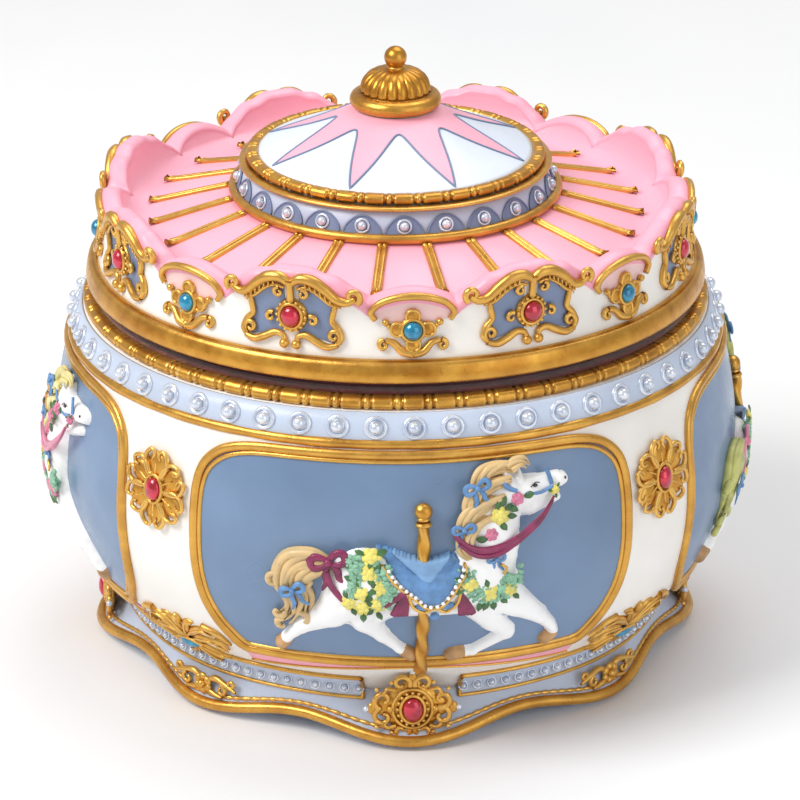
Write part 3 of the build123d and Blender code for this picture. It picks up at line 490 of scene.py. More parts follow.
KEPT = {  # CAD shapes that show as they are, and their finishes
    "tray_liner": FLOCK, "lid_lining": FLOCK, "felt_feet": FELT, "bottom_plate": BOARD, "rod_tube": BRASS,
    "start_rod": STEEL, "hinge_leaf_case": BRASS, "hinge_leaf_lid": BRASS, "hinge_pin": STEEL,
    "bottom_screws": STEEL, "bedplate": BRASS, "cylinder_bearing": BRASS, "governor_plate": BRASS,
    "end_plate": BRASS, "fan_bearing": BRASS, "comb": STEEL, "comb_base": BRASS, "comb_screws": STEEL,
    "winding_key": BRASS, "winding_arbor": STEEL, "spring_barrel": BRASS, "mainspring": STEEL,
    "pinned_cylinder": BRASS, "cylinder_staff": STEEL, "cylinder_gears": BRASS, "idler_gear": BRASS,
    "governor_fan": STEEL, "finial_stud": STEEL,
}


def refinish_kept_nodes():
    """CAD shapes that stay get the same finishes as the pieces round them."""
    for name, mat in KEPT.items():
        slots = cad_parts[name].material_slots
        for spot in slots:
            spot.material = mat


# ---------------------------------------------------------------- case: wall, panels and rings

FRAME_EDGE = [(0, 22.6), (20, 22.6), (37, 22.5), (42, 22.9), (44.8, 25.8), (47.2, 29.4), (48.8, 33.5),
    (49.7, 38), (50.2, 44), (50.3, 51), (50.3, 58), (49.9, 63), (48.8, 66.6), (46.4, 69.4), (42.8, 71.4),
    (37, 72.6), (28, 73.0), (12, 73.1)]
PANEL = Wall(BOWL, PANEL_R)
PILASTER = Wall(BOWL, PANEL_R, centre=45.0)


def mirrored(points):
    """A closed outline from its right half, which starts at the bottom centre."""
    return list(points) + [(-x, z) for x, z in reversed(points) if x > 0]


WALL_THICK = 4.0
RIM_PEARLS, RIM_REELS, DISC_REELS = 56, 66, 32


def case_wall():
    """Resin bowl with its sloping upper band and its hollow inside."""
    rows = np.linspace(CASE_Z0, 74.0, 50)
    outside = [(float(BOWL.radius(z)), z) for z in rows]
    inside = [(r - WALL_THICK, z) for r, z in reversed(outside)]
    outline = outside + [(71.6, MOUTH_Z), (66.5, MOUTH_Z), (66.5, 72.0)] + inside[2:]
    Clay().add(*lathe(outline, 240)).piece("case_wall", CREAM, "case", "case_shell")


def panel_fields():
    """The four periwinkle fields inside the gold frames."""
    edge = np.array(FRAME_EDGE)
    rows = np.linspace(22.6, 72.5, 60)
    half = np.interp(rows, edge[2:, 1], edge[2:, 0])
    across = np.linspace(-1, 1, 72)
    x = across[:, None] * half[None, :]
    z = np.broadcast_to(rows, x.shape)
    sheet = Clay().add(*grid(PANEL.at(x, z, 0.22)))
    sheet.sides("panel_fields", PERIWINKLE)


def panel_frames():
    """Rounded gold frames with a fine inner line."""
    one = Clay()
    one.add(*PANEL.tube(mirrored(FRAME_EDGE), 1.05, 0.35, closed=True, sides=10, flat=0.85))
    inner = [(x * 0.972, 47.6 + (z - 47.6) * 0.945) for x, z in FRAME_EDGE]
    one.add(*PANEL.tube(mirrored(inner), 0.55, 0.2, closed=True, sides=8))
    one.sides("panel_frame_mouldings", GOLD, "panel_frames")


def circle_outline(r, z, radius, sides=12):
    """Section of a round ring."""
    turns = np.radians(ring_angles(sides))
    return [(r + radius * cos(t), z + radius * sin(t)) for t in turns]


def waist():
    """Plain gold ring between the bowl and the pearl band, slightly uneven from the brush."""
    def outline(angle):
        swing = 0.05 * sin(radians(angle * 17)) + 0.04 * sin(radians(angle * 41))
        return circle_outline(73.8, 75.2, 1.13 + swing)
    Clay().add(*lathe(outline, 360)).piece("waist_moulding", GOLD, "case", "waist_ring")


def pearl_band():
    """Pale blue sloping band behind the pearls."""
    outline = [(74.0, 75.6), (74.15, 75.9), (73.0, 79.0), (71.9, 81.7), (71.2, 81.6), (73.2, 75.6)]
    Clay().add(*lathe(outline, 240)).piece("pearl_band", BAND_BLUE, "case")


def bead_and_reel(outer, inner, bottom, top, pairs):
    """A gold rim of long reels, each parted from the next by one short bead."""
    def outline(angle):
        pitch = 360.0 / pairs
        off = (angle % pitch) - pitch / 2
        nearest = abs(abs(off) - 0.13 * pitch)
        cut = 0.66 * exp(-(nearest / (0.046 * pitch)) ** 2)
        height = top - bottom
        centre_r, centre_z, half = outer - height / 2, (top + bottom) / 2, height / 2 - cut * 0.55
        arc = [(centre_r - cut * 0.5 + half * cos(t), centre_z + half * sin(t))
            for t in np.linspace(-pi / 2, pi / 2, 9)]
        return [(inner, bottom)] + arc + [(inner + 0.6, top - cut * 0.4), (inner, top - 0.4)]
    return lathe(outline, pairs * 24)


def case_rim():
    """Gold bead-and-reel rim at the mouth of the case."""
    Clay().add(*bead_and_reel(RIM_R, 66.52, RIM_LOW[2], RIM_TOP, RIM_REELS)).piece("case_rim_moulding",
        GOLD, "case", "case_rim")


def loop(centre, normal, radius, thick, stretch=1.0, sides=8, count=24):
    """A small ring lying on a surface."""
    n = Vector(normal).normalized()
    across = Vector((-n.y, n.x, 0)).normalized()
    along = n.cross(across)
    path = [Vector(centre) + across * (radius * cos(t)) + along * (radius * stretch * sin(t))
        for t in np.linspace(0, 2 * pi, count, endpoint=False)]
    return tube([tuple(p) for p in path], thick, sides, closed=True)


def rim_pearls():
    """Pearls in round cups along the sloping band; none stand behind the hinge."""
    pearls, cups = Clay(), Clay()
    for angle in ring_angles(RIM_PEARLS):
        if abs(angle - BACK) <= 9:
            continue
        seat = BAND.place(angle, 78.6, 0.35)
        normal = BAND.place(angle, 78.6, 1.35) - seat
        pearls.add(*ball(seat + normal * 0.8, (1.4, 1.4, 1.4), normal, seg=18, rings=12))
        cups.add(*loop(seat + normal * 0.15, normal, 2.05, 0.52, sides=10))
        cups.add(*ball(seat, (1.9, 1.9, 0.5), normal, seg=18, rings=6))
    pearls.piece("rim_pearl_row", PEARL, "case", "rim_pearls")
    cups.piece("rim_pearl_cups", PEARL, "case", "rim_pearl_bezels")


# ---------------------------------------------------------------- scrolls, flowers and other small ornament


def curl(x, z, r, start, turns, hand=1):
    """Flat points of a scroll that winds in round (x, z) from radius r; start is in degrees."""
    count = max(int(turns * 14), 6)
    out = []
    for k in range(count + 1):
        t = k / count
        a = radians(start) + hand * 2 * pi * turns * t
        shrink = r * (1 - 0.78 * t)
        out.append((x + shrink * cos(a), z + shrink * sin(a)))
    return out


def aim(hand, degrees):
    """A direction on the right side, or its mirror image on the left."""
    return degrees if hand > 0 else 180 - degrees


def volute_petal(wall, clay, x, z, angle, reach, width, lift):
    """One scrolled petal: a cupped body, a raised edge that curls in at the tip, and a vein."""
    c, s = cos(angle), sin(angle)

    def out(u, v):
        return (x + u * c - v * s, z + u * s + v * c)

    clay.add(*ball(wall.at(*out(reach * 0.58, 0), lift * 0.3), (width * 0.8, reach * 0.4, lift * 0.75),
        wall.normal(x, z), angle - pi / 2, seg=12, rings=6))
    for hand in (-1, 1):
        side = [(reach * 0.2, hand * width * 0.25), (reach * 0.5, hand * width * 0.85), (reach * 0.8,
            hand * width * 0.95), (reach * 0.98, hand * width * 0.5), (reach * 0.88, hand * width * 0.18),
            (reach * 0.74, hand * width * 0.34)]
        clay.rod(wall, [out(u, v) for u, v in side], [0.4, 0.5, 0.55, 0.5, 0.4, 0.3], lift, per_span=4,
            sides=6)
    clay.rod(wall, [out(reach * 0.25, 0), out(reach * 0.7, 0)], [0.3, 0.25], lift * 0.95, per_span=3,
        sides=6)


def stone_seat(wall, clay, x, z, wide, high, lift, beads=0):
    """Oval bezel, and a ring of grains round it if asked."""
    clay.add(*loop(wall.at(x, z, lift), wall.normal(x, z), wide + 0.35, 0.42, high / wide))
    for k in range(beads):
        a = 2 * pi * k / beads
        spot = (x + (wide + 1.05) * cos(a), z + (high + 1.05) * sin(a))
        clay.bead(wall, *spot, 0.42, lift * 0.8, seg=8, rings=5)


def pilaster_flowers():
    """Six scrolled petals round an oval red stone."""
    gold, stones = Clay(), Clay()
    x, z = 0.0, 58.2
    for k in range(6):
        volute_petal(PILASTER, gold, x, z, radians(30 + 60 * k), 8.7, 3.4, 1.05)
    for k in range(6):
        a = radians(60 * k)
        gold.rod(PILASTER, [(x + 3.2 * cos(a), z + 3.2 * sin(a)), (x + 7.8 * cos(a), z + 7.8 * sin(a))],
            [1.1, 0.4], 0.5, sides=6)
    gold.bead(PILASTER, x, z, (3.0, 3.6, 1.2), 0.3)
    stone_seat(PILASTER, gold, x, z, 2.1, 2.75, 1.25)
    stones.bead(PILASTER, x, z, (2.0, 2.6, 1.35), 1.4, seg=20, rings=12)
    gold.sides("pilaster_flower_scrolls", GOLD, "pilaster_flowers")
    return stones.turned(*EVERY_SIDE)


def leaf_blade(wall, clay, points, width, lift):
    """A tapering leaf along flat points, with a raised vein."""
    sizes = [width * 0.35, width, width * 0.8, width * 0.15]
    clay.rod(wall, points, sizes, lift * 0.4, sides=8, flat=0.5)
    clay.rod(wall, points, [0.3, 0.35, 0.3, 0.15], lift * 0.4 + width * 0.45, sides=6)


def pilaster_leaves():
    """Leaf sprays at the foot of each pilaster, with a pointed teal stone."""
    gold, stones = Clay(), Clay()
    for hand in (-1, 1):
        blades = ([(0, 20), (hand * 3.5, 22.6), (hand * 7.5, 24.2), (hand * 11, 23.4)],
            [(0, 19), (hand * 4, 20.6), (hand * 8.5, 20.8), (hand * 12.5, 18.8)],
            [(0, 18), (hand * 3.5, 16.6), (hand * 7.5, 15.4), (hand * 11, 15.8)],
            [(0, 20), (hand * 1.6, 23.2), (hand * 3.2, 25.2), (hand * 5.4, 25.6)],
            [(0, 17), (hand * 1.8, 14.8), (hand * 3.8, 13.6), (hand * 6, 13.2)],)
        for blade in blades:
            leaf_blade(PILASTER, gold, blade, 1.25, 0.8)
        gold.rod(PILASTER, curl(hand * 10.4, 20.2, 2.2, 90, 1.1, -hand), [0.7, 0.5, 0.3], 0.6, sides=6)
        gold.rod(PILASTER, [(hand * 8, 25.6), (hand * 12, 24.6), (hand * 15, 21.8)], [0.8, 0.7, 0.3], 0.5)
    gold.bead(PILASTER, 0, 25.2, (1.2, 1.7, 1.0), 0.4)
    gold.add(*loop(PILASTER.at(0, 18.8, 1.2), PILASTER.normal(0, 18.8), 3.4, 0.4, 0.42))
    stones.bead(PILASTER, 0, 18.8, (3.1, 1.3, 1.2), 1.2, seg=20, rings=10)
    gold.sides("pilaster_leaf_sprays", GOLD, "pilaster_leaves")
    stones.sides("pilaster_teal_stones", TEAL, "pilaster_leaf_stones")


# ---------------------------------------------------------------- horses

RAISE = 0.9  # the horses stand proud, so their points sit this much higher than where they are seen

HORSE_BARS = [(-9.5, 44.6, 8.9, 3.1, 3.0, 44.0, 8.3, 3.2), (3.0, 44.0, 8.3, 3.2, 13.6, 44.2, 8.5, 3.4),
    (-11.0, 46.5, 7.2, 3.3, -11.6, 43.0, 7.6, 3.3), (14.3, 48.0, 7.6, 3.4, 17.2, 55.5, 5.6, 3.1),
    (17.2, 55.5, 5.6, 3.1, 20.0, 62.6, 4.9, 2.9), (22.4, 64.4, 4.2, 2.9, 25.4, 63.6, 4.0, 3.2),
    (26.0, 64.8, 3.2, 3.1, 32.8, 65.8, 2.0, 2.5), (32.8, 65.8, 2.0, 2.5, 34.1, 65.9, 1.6, 2.3),
    (26.5, 61.6, 2.4, 2.7, 32.4, 62.4, 1.2, 2.1), (22.2, 65.6, 1.6, 3.2, 20.2, 70.2, 0.9, 2.4),
    (24.0, 67.4, 1.2, 2.6, 23.8, 70.0, 0.5, 1.8), (17.2, 41.0, 5.2, 3.2, 22.4, 37.2, 3.4, 2.9),
    (22.4, 37.2, 3.4, 2.9, 28.2, 33.0, 2.1, 2.5), (28.2, 33.0, 2.0, 2.4, 32.0, 29.2, 1.35, 2.1),
    (32.0, 29.2, 1.35, 2.1, 32.9, 27.4, 1.5, 2.1), (12.5, 40.0, 4.6, 2.4, 17.2, 33.2, 2.8, 2.1),
    (17.2, 33.2, 2.6, 2.1, 21.2, 29.6, 2.0, 2.0), (21.2, 29.4, 1.8, 1.9, 13.6, 25.2, 1.25, 1.7),
    (13.6, 25.2, 1.25, 1.7, 11.4, 24.8, 1.45, 1.7), (-13.8, 41.0, 6.6, 3.1, -18.0, 36.4, 3.8, 2.8),
    (-18.0, 36.4, 3.8, 2.8, -25.4, 32.0, 2.0, 2.3), (-25.4, 31.8, 1.9, 2.2, -28.8, 28.6, 1.35, 2.0),
    (-28.8, 28.6, 1.35, 2.0, -29.6, 27.6, 1.5, 2.0), (-9.0, 39.0, 5.2, 2.4, -11.2, 34.6, 3.2, 2.2),
    (-11.2, 34.4, 3.0, 2.1, -7.4, 30.8, 1.9, 1.9), (-7.4, 30.6, 1.8, 1.9, -3.6, 27.0, 1.3, 1.7),
    (-3.6, 27.0, 1.3, 1.7, -2.6, 26.2, 1.45, 1.7),]
HOOVES = [(32.8, 27.0, 1.6, 2.3, 31.6, 25.4, 1.75, 2.1), (11.0, 24.8, 1.6, 1.9, 8.6, 24.2, 1.8, 1.8),
    (-29.8, 27.2, 1.6, 2.2, -31.0, 25.9, 1.75, 2.0), (-2.4, 26.0, 1.6, 1.9, -0.8, 24.6, 1.8, 1.8),]
MUSCLES = [  # shallow dents that draw the shoulder, the haunch, the cheek and the knees
    (6.5, 50, 9.0, 38, 0.5, 1.3),
    (-6.0, 40, -9.6, 35.5, 0.5, 1.2),
    (23.0, 60.2, 25.8, 61.6, 0.5, 0.9),
    (31.0, 63.9, 35.2, 64.0, 2.4, 0.42),
    (16.8, 51.5, 20.4, 47.0, 0.4, 1.3),
    (-16.8, 45.0, -15.6, 39.6, 0.35, 1.1),
    (28.4, 66.3, 31.6, 66.0, 0.25, 0.6),
]
BLANKET_EDGE = [(-8.6, 52.8), (-5.6, 52.4), (-1.6, 50.8), (2.4, 50.0), (6.9, 50.9), (8.6, 50.4),
    (9.6, 47.8), (8.2, 45.0), (6.8, 42.5), (4.7, 40.4), (2.1, 40.4), (0.2, 42.2), (-2.5, 44.4),
    (-4.6, 46.7), (-6.7, 50.3)]
SADDLE_EDGE = [(-5.2, 52.2), (-1.6, 50.9), (2.4, 50.1), (5.6, 50.6), (7.2, 51.0), (5.2, 48.0), (2.4, 45.4),
    (-1.2, 48.0)]


def horse_height(x, z):
    """Height of the bare horse over the panel; its back dips under the saddle, its neck is carried back."""
    rise = np.clip((z - 43) / 8, 0, 1)
    under_saddle = np.clip((z - 44) / 5, 0, 1) * np.exp(-((x - 1.5) / 6.0) ** 2)
    x = x + 1.2 * np.clip((z - 52) / 6, 0, 1)
    z = z - RAISE + 1.7 * rise * rise * (3 - 2 * rise) + 2.2 * under_saddle
    h = soft_max([bar_height(x, z, bar) for bar in HORSE_BARS])
    for x0, z0, x1, z1, depth, width in MUSCLES:
        dx, dz = x1 - x0, z1 - z0
        t = np.clip(((x - x0) * dx + (z - z0) * dz) / (dx * dx + dz * dz), 0, 1)
        far = np.hypot(x - x0 - t * dx, z - z0 - t * dz) / width
        h = h - depth * np.exp(-far * far)
    return np.minimum(h, 4.0)


def inside_distance(x, z, outline):
    """How far a point is inside a flat outline; negative outside."""
    corners = smooth_path(outline, 4, closed=True)
    nearest = np.full(np.shape(x), 1e9)
    crossings = np.zeros(np.shape(x), bool)
    for (x0, z0), (x1, z1) in zip(corners, np.roll(corners, -1, 0)):
        dx, dz = x1 - x0, z1 - z0
        t = np.clip(((x - x0) * dx + (z - z0) * dz) / (dx * dx + dz * dz + 1e-12), 0, 1)
        nearest = np.minimum(nearest, np.hypot(x - x0 - t * dx, z - z0 - t * dz))
        if z0 != z1:
            spans = (z0 > z) != (z1 > z)
            crossings ^= spans & (x < x0 + (z - z0) / (z1 - z0) * dx)
    return np.where(crossings, nearest, -nearest)


def cloth_height(outline, thick, quilt=0.0, least=1.6):
    """A cloth of some thickness lying on the horse inside an outline."""
    def height(x, z):
        deep = inside_distance(x, z - RAISE, outline)
        body = np.maximum(horse_height(x, z), least)
        pattern = quilt * np.abs(np.sin(x * 1.9 + z * 1.9) * np.sin(x * 1.9 - z * 1.9))
        raised = body + thick * np.clip(deep / 0.6, 0, 1) ** 0.5 + pattern
        return np.where(deep > 0, raised, -1.0)
    return height


def lock(points, size, lift, lean=0.0):
    """One lock of hair on the panel: swells, then thins to a point."""
    flat = smooth_path([(x, z + RAISE) for x, z in points], 5)
    t = np.linspace(0, 1, len(flat))
    lifts = lift + lean * t + 0.25 * np.sin(t * 5 + points[0][0])
    radius = size * (0.55 + 0.6 * np.sin(np.clip(t * 1.15, 0, 1) * pi) ** 0.8) * (1 - 0.72 * t ** 3)
    return tube(PANEL.at(flat[:, 0], flat[:, 1], lifts), radius, 7)


TAIL_SPINE = [(-18.2, 48.4), (-21.8, 48.9), (-25.4, 47.2), (-26.8, 43.6), (-25.8, 39.4), (-26.6, 35.8),
    (-28.8, 33.4)]


def tail_locks():
    """Curling tail: locks side by side along one spine, with loose ends."""
    clay = Clay()
    spine = np.array(TAIL_SPINE)
    spread = np.array([0.3, 0.8, 1.0, 1.0, 0.95, 0.75, 0.5])
    step = np.gradient(spine, axis=0)
    across = np.stack((-step[:, 1], step[:, 0]), 1) / np.linalg.norm(step, axis=1)[:, None]
    for layer, lift in ((0, 0.9), (1, 2.0)):
        for k in range(7 - layer):
            off = (k - (6 - layer) / 2) / 3.0
            wobble = 0.45 * np.sin(np.arange(7) * 1.7 + k * 2.1 + layer)
            cut = RANDOM.choice((6, 7, 7))
            points = (spine + across * (off * 3.3 * spread + wobble)[:, None])[:cut]
            clay.add(*lock(points, 1.05, lift, -0.2))
    for x, z, r, start, hand in ((-30.4, 43.4, 1.8, 60, 1), (-30.0, 35.6, 1.6, 30, -1), (-24.4, 34.6, 1.7,
            150, -1), (-29.6, 32.4, 1.5, 60, 1), (-23.4, 44.4, 1.4, 200, 1)):
        clay.add(*lock(curl(x, z, r, start, 0.9, hand), 0.75, 1.6))
    return clay


def wisp(clay, points, count, spread, size, lift):
    """Several locks side by side that follow one curve and fan out towards its end."""
    spine = np.array(points, float)
    step = np.gradient(spine, axis=0)
    across = np.stack((-step[:, 1], step[:, 0]), 1) / (np.linalg.norm(step, axis=1)[:, None] + 1e-9)
    fan = np.linspace(0.55, 1.0, len(spine))
    for k in range(count):
        off = (k - (count - 1) / 2) * spread
        wobble = 0.25 * np.sin(np.arange(len(spine)) * 2.1 + k * 1.9)
        middle = 0.5 - 0.5 * abs(off) / (spread * count)
        clay.add(*lock(spine + across * (off * fan + wobble)[:, None], size, lift + middle, -0.3))


MANE = [[(21.2, 68.4), (17.8, 69.0), (14.6, 67.6), (13.4, 65.0), (14.4, 62.8), (17.0, 62.6)],
    [(19.4, 66.0), (15.8, 65.4), (12.6, 63.4), (11.4, 60.8), (12.8, 58.6), (15.4, 58.8)], [(18.0, 62.4),
    (14.4, 61.4), (11.2, 59.2), (10.0, 56.8), (10.8, 54.8), (13.4, 54.4)], [(16.4, 58.6), (12.8, 57.2),
    (10.4, 54.4), (10.2, 52.0), (12.2, 50.2), (15.6, 50.0)],]


def mane_locks():
    """Wind-blown mane: bundles that sweep back from the crest and curl forward again, and a forelock."""
    clay = Clay()
    for k, points in enumerate(MANE):
        wisp(clay, points, 4, 0.9, 0.75, 1.6 + 0.1 * k)
        wisp(clay, [(x + 0.9, z + 0.5) for x, z in points[:-1]], 2, 1.0, 0.7, 2.5)
    wisp(clay, [(19.6, 68.6), (21.4, 69.8), (23.6, 69.4), (24.8, 68.2)], 3, 0.65, 0.6, 2.2)
    wisp(clay, [(20.4, 67.8), (22.4, 68.8), (24.0, 68.6)], 2, 0.6, 0.5, 2.9)
    return clay


def rose(clay, x, z, r, lift):
    """A small moulded rose: two rings of round petals, with raised lips, round a bud."""
    z = z + RAISE
    n = PANEL.normal(x, z)
    turn = RANDOM.random() * 2
    for count, ring, size, up in ((6, 0.66, 0.5, 0.0), (4, 0.34, 0.42, 0.4)):
        for k in range(count):
            a = turn + 2 * pi * k / count
            spot = (x + r * ring * cos(a), z + r * ring * sin(a))
            clay.add(*ball(PANEL.at(*spot, lift + up), (r * size, r * size, 0.5), n, a, seg=10, rings=6))
    clay.add(*ball(PANEL.at(x, z, lift + 0.55), (r * 0.3, r * 0.3, 0.42), n, seg=8, rings=6))


def leaf(clay, x, z, angle, length, lift):
    """A pointed leaf with a folded middle."""
    z = z + RAISE
    c, s = cos(radians(angle)), sin(radians(angle))
    rows = []
    for t in np.linspace(0, 1, 7):
        half = length * 0.3 * sin(pi * min(t * 0.92 + 0.06, 1.0)) ** 0.8
        row = []
        for side, drop in ((-1, 0.35), (0, 0.0), (1, 0.35)):
            u, v = t * length, side * half
            row.append(PANEL.at(x + u * c - v * s, z + u * s + v * c, lift + 0.35 - drop
                + 0.3 * sin(3 * t)))
        rows.append(row)
    clay.add(*grid(rows))


ROSES = [(-9.3, 51.2, 2.0), (-9.9, 47.4, 2.0), (-7.4, 44.4, 1.9), (-11.4, 43.0, 2.1), (-13.8, 40.8, 1.7),
    (-8.1, 40.6, 1.8), (-11.0, 39.8, 1.9), (11.3, 44.6, 2.1), (15.4, 42.0, 2.2), (19.4, 42.5, 1.8),
    (17.6, 59.0, 1.9), (30.0, 62.7, 0.95)]
BLOSSOMS = [(15.6, 55.1, 1.3), (21.5, 62.1, 1.3)]
NECK_LEAVES = [(17.6, 60.8, 60, 2.6), (19.4, 60.8, 330, 2.4), (22.8, 62.4, 10, 2.6), (17.4, 57.6, 310,
    2.4), (14.8, 54.2, 175, 2.6), (-12.4, 49.6, 200, 2.4), (-12.6, 46.0, 160, 2.4), (-11.0, 38.6, 270,
    2.4), (-7.4, 48.8, 330, 2.4), (-8.2, 38.9, 300, 2.2), (13.4, 40.2, 260, 2.2), (17.6, 40.8, 320, 2.2)]


def bow(clay, x, z, size, lift, turn=0.0):
    """A ribbon bow with two loops and two tails."""
    c, s = cos(turn), sin(turn)

    def place(points):
        return [(x + (u * c - v * s) * size, z + RAISE + (u * s + v * c) * size) for u, v in points]

    for hand in (-1, 1):
        ring = [(0, 0), (hand * 1.2, 0.9), (hand * 2.2, 0.7), (hand * 2.2, -0.4), (hand * 1.1, -0.6)]
        clay.rod(PANEL, place(ring), [0.35 * size, 0.6 * size, 0.6 * size, 0.5 * size, 0.3 * size], lift,
            closed=True, per_span=4, sides=6, flat=0.55)
        tail = [(0, 0), (hand * 0.8, -1.4), (hand * 0.9, -2.6), (hand * 1.9, -3.8)]
        clay.rod(PANEL, place(tail), [0.3 * size, 0.55 * size, 0.5 * size, 0.2], lift - 0.3, sides=6,
            flat=0.5)
    clay.bead(PANEL, *place([(0, 0)])[0], 0.6 * size, lift + 0.2, seg=10, rings=6)


def ribbons():
    """Reins from the mouth round the neck, a bow at the tail root and bunches of ribbon under the cloth."""
    clay = Clay()

    def strap(points, size, lift, flat=0.6):
        clay.rod(PANEL, [(x, z + RAISE) for x, z in points], size, lift, sides=8, flat=flat)

    strap([(29.6, 61.6), (27.2, 58.4), (23.8, 55.4), (19.8, 52.8), (14.8, 51.7), (10.6, 52.8),
        (7.6, 56.0)], [0.3, 0.6, 1.0, 1.15, 1.15, 0.9, 0.4], 3.5, 0.45)
    strap([(29.2, 60.8), (26.2, 56.9), (22.0, 53.8), (17.0, 51.0), (12.4, 51.0), (8.6, 53.8)],
        [0.2, 0.4, 0.5, 0.6, 0.5, 0.3], 3.9, 0.6)
    strap([(-18.4, 47.4), (-17.6, 44.2), (-15.0, 40.8)], [0.5, 0.75, 0.7], 2.9, 0.6)
    strap([(-6.6, 40.4), (-4.6, 41.8), (-2.0, 43.6)], 0.7, 3.4, 0.6)
    bow(clay, -18.2, 49.6, 1.6, 3.0, 0.25)
    for x, z, way in ((-2.4, 43.2, -1.0), (9.6, 42.8, 1.0)):
        for lean in (-0.55, -0.2, 0.2, 0.55):
            points = [(x, z), (x + lean * 1.2 + way * 0.5, z - 2.8), (x + lean * 2.3 + way * 1.2, z - 5.4)]
            strap(points, [0.5, 0.8, 0.75], 3.0, 0.5)
    return clay


def garlands():
    """Green flower garlands across the breast and over the rump, frilled like crumpled lace."""
    clay = Clay()
    breast = smooth_path([(10.2, 46.8), (11.8, 43.4), (15.2, 41.6), (18.5, 42.4), (20.9, 45.8)], 12)
    haunch = smooth_path([(-12.8, 51.0), (-12.6, 48.4), (-12.2, 45.8), (-13.2, 42.8)], 10)
    flank = smooth_path([(-7.4, 49.0), (-6.2, 45.6), (-5.6, 42.6), (-7.4, 40.4)], 10)
    for path, wide in ((breast, 2.1), (haunch, 1.7), (flank, 1.7)):
        clay.rod(PANEL, [(x, z + RAISE) for x, z in path[::5]], wide * 0.75, 2.3, sides=8, flat=0.45)
        for x, z in path:
            for _ in range(5):
                turn, reach = RANDOM.uniform(0, 2 * pi), wide * sqrt(RANDOM.random())
                u, v = reach * cos(turn), reach * sin(turn)
                size = RANDOM.uniform(0.45, 0.8)
                rise = 2.95 + 0.45 * (1 - reach / wide) + 0.2 * RANDOM.random()
                clay.bead(PANEL, x + u, z + v + RAISE, (size, size * 0.75, 0.5), rise, turn, seg=8, rings=5)
    return clay


def cloth_trim():
    """White beads and a gold cord round the saddle cloth, and cords on the saddle."""
    beads, cord = Clay(), Clay()
    border = smooth_path(BLANKET_EDGE, 6, closed=True)
    lower = [p for p in border if p[1] < 50.0]
    lower.sort(key=lambda p: atan2(p[1] - 51, p[0] - 2.6))
    walked, last = 0.0, np.array(lower[0])
    for x, z in lower:
        walked += hypot(x - last[0], z - last[1])
        last = np.array((x, z))
        if walked >= 1.05:
            walked = 0.0
            beads.bead(PANEL, x, z + RAISE, 0.47, 3.8, seg=8, rings=6)
    cord.rod(PANEL, [(2.6 + (x - 2.6) * 1.09, 50 + (z - 50) * 1.07 + RAISE) for x, z in lower[::3]], 0.36,
        3.45, per_span=3, sides=6)
    swag = [(-1.6, 43.4), (-0.8, 40.2), (1.6, 38.6), (3.9, 39.6), (6.2, 38.6), (8.6, 40.6), (9.2, 44.4)]
    cord.rod(PANEL, [(x, z + RAISE) for x, z in swag], 0.38, 3.3, sides=6)
    cord.rod(PANEL, [(17.4, 48.6 + RAISE), (18.7, 47.6 + RAISE), (18.0, 46.4 + RAISE)], 0.3, 3.6, sides=6)
    return beads, cord


def eyes():
    """Eye and nostril."""
    dark = Clay()
    dark.bead(PANEL, 25.6, 64.3 + RAISE, (0.6, 0.42, 0.35), 3.05, seg=12, rings=8)
    dark.rod(PANEL, [(24.5, 64.1 + RAISE), (25.5, 64.9 + RAISE), (26.5, 64.8 + RAISE)], 0.14, 3.35, sides=5)
    dark.bead(PANEL, 33.0, 64.6 + RAISE, (0.28, 0.4, 0.25), 2.4, seg=8, rings=6)
    return dark


def hoof_height(x, z):
    """Height of the hooves over the panel."""
    return soft_max([bar_height(x, z - RAISE, bar) for bar in HOOVES])


def blue_bows():
    """Small bows, the bridle's straps and the patches under the saddle cloth."""
    bows = Clay()
    for x, z, size, turn in ((12.8, 65.2, 1.1, 0.3), (-25.8, 42.6, 1.1, 0.4), (9.8, 56.6, 0.95, 0.1),
            (16.5, 49.8, 0.75, 0.1)):
        bow(bows, x, z, size, 3.5, turn)
    for points, size, lift in (([(18.2, 67.2), (19.4, 65.6), (21.4, 64.6)], [0.5, 0.55, 0.5], 3.3),
            ([(23.4, 63.8), (26.6, 63.6), (29.6, 64.5)], 0.4, 3.3), ([(28.5, 68.2), (29.1, 66.6),
            (29.6, 64.8)], 0.5, 2.7)):
        bows.rod(PANEL, points, size, lift, sides=6, flat=0.6)
    for x, z, size in ((3.9, 37.4, (1.1, 0.9, 0.6)), (1.1, 39.9, (1.5, 1.0, 0.6)), (6.7, 39.9,
            (1.5, 1.0, 0.6))):
        bows.bead(PANEL, x, z + RAISE, size, 3.0, seg=12)
    return bows


def flowers():
    """Large roses on the garlands and the neck, small blossoms, and green leaves round them."""
    petals, blossoms, leaves = Clay(), Clay(), Clay()
    for x, z, r in ROSES:
        rose(petals, x, z, r, 3.1)
        for _ in range(3):
            angle = RANDOM.uniform(0, 360)
            a = radians(angle)
            leaf(leaves, x + r * 0.7 * cos(a), z + r * 0.7 * sin(a), angle, r * 1.15, 3.2)
    for x, z, r in BLOSSOMS:
        rose(blossoms, x, z, r, 3.2)
    for x, z, angle, length in NECK_LEAVES:
        leaf(leaves, x, z, angle, length, 3.1)
    return petals, blossoms, leaves


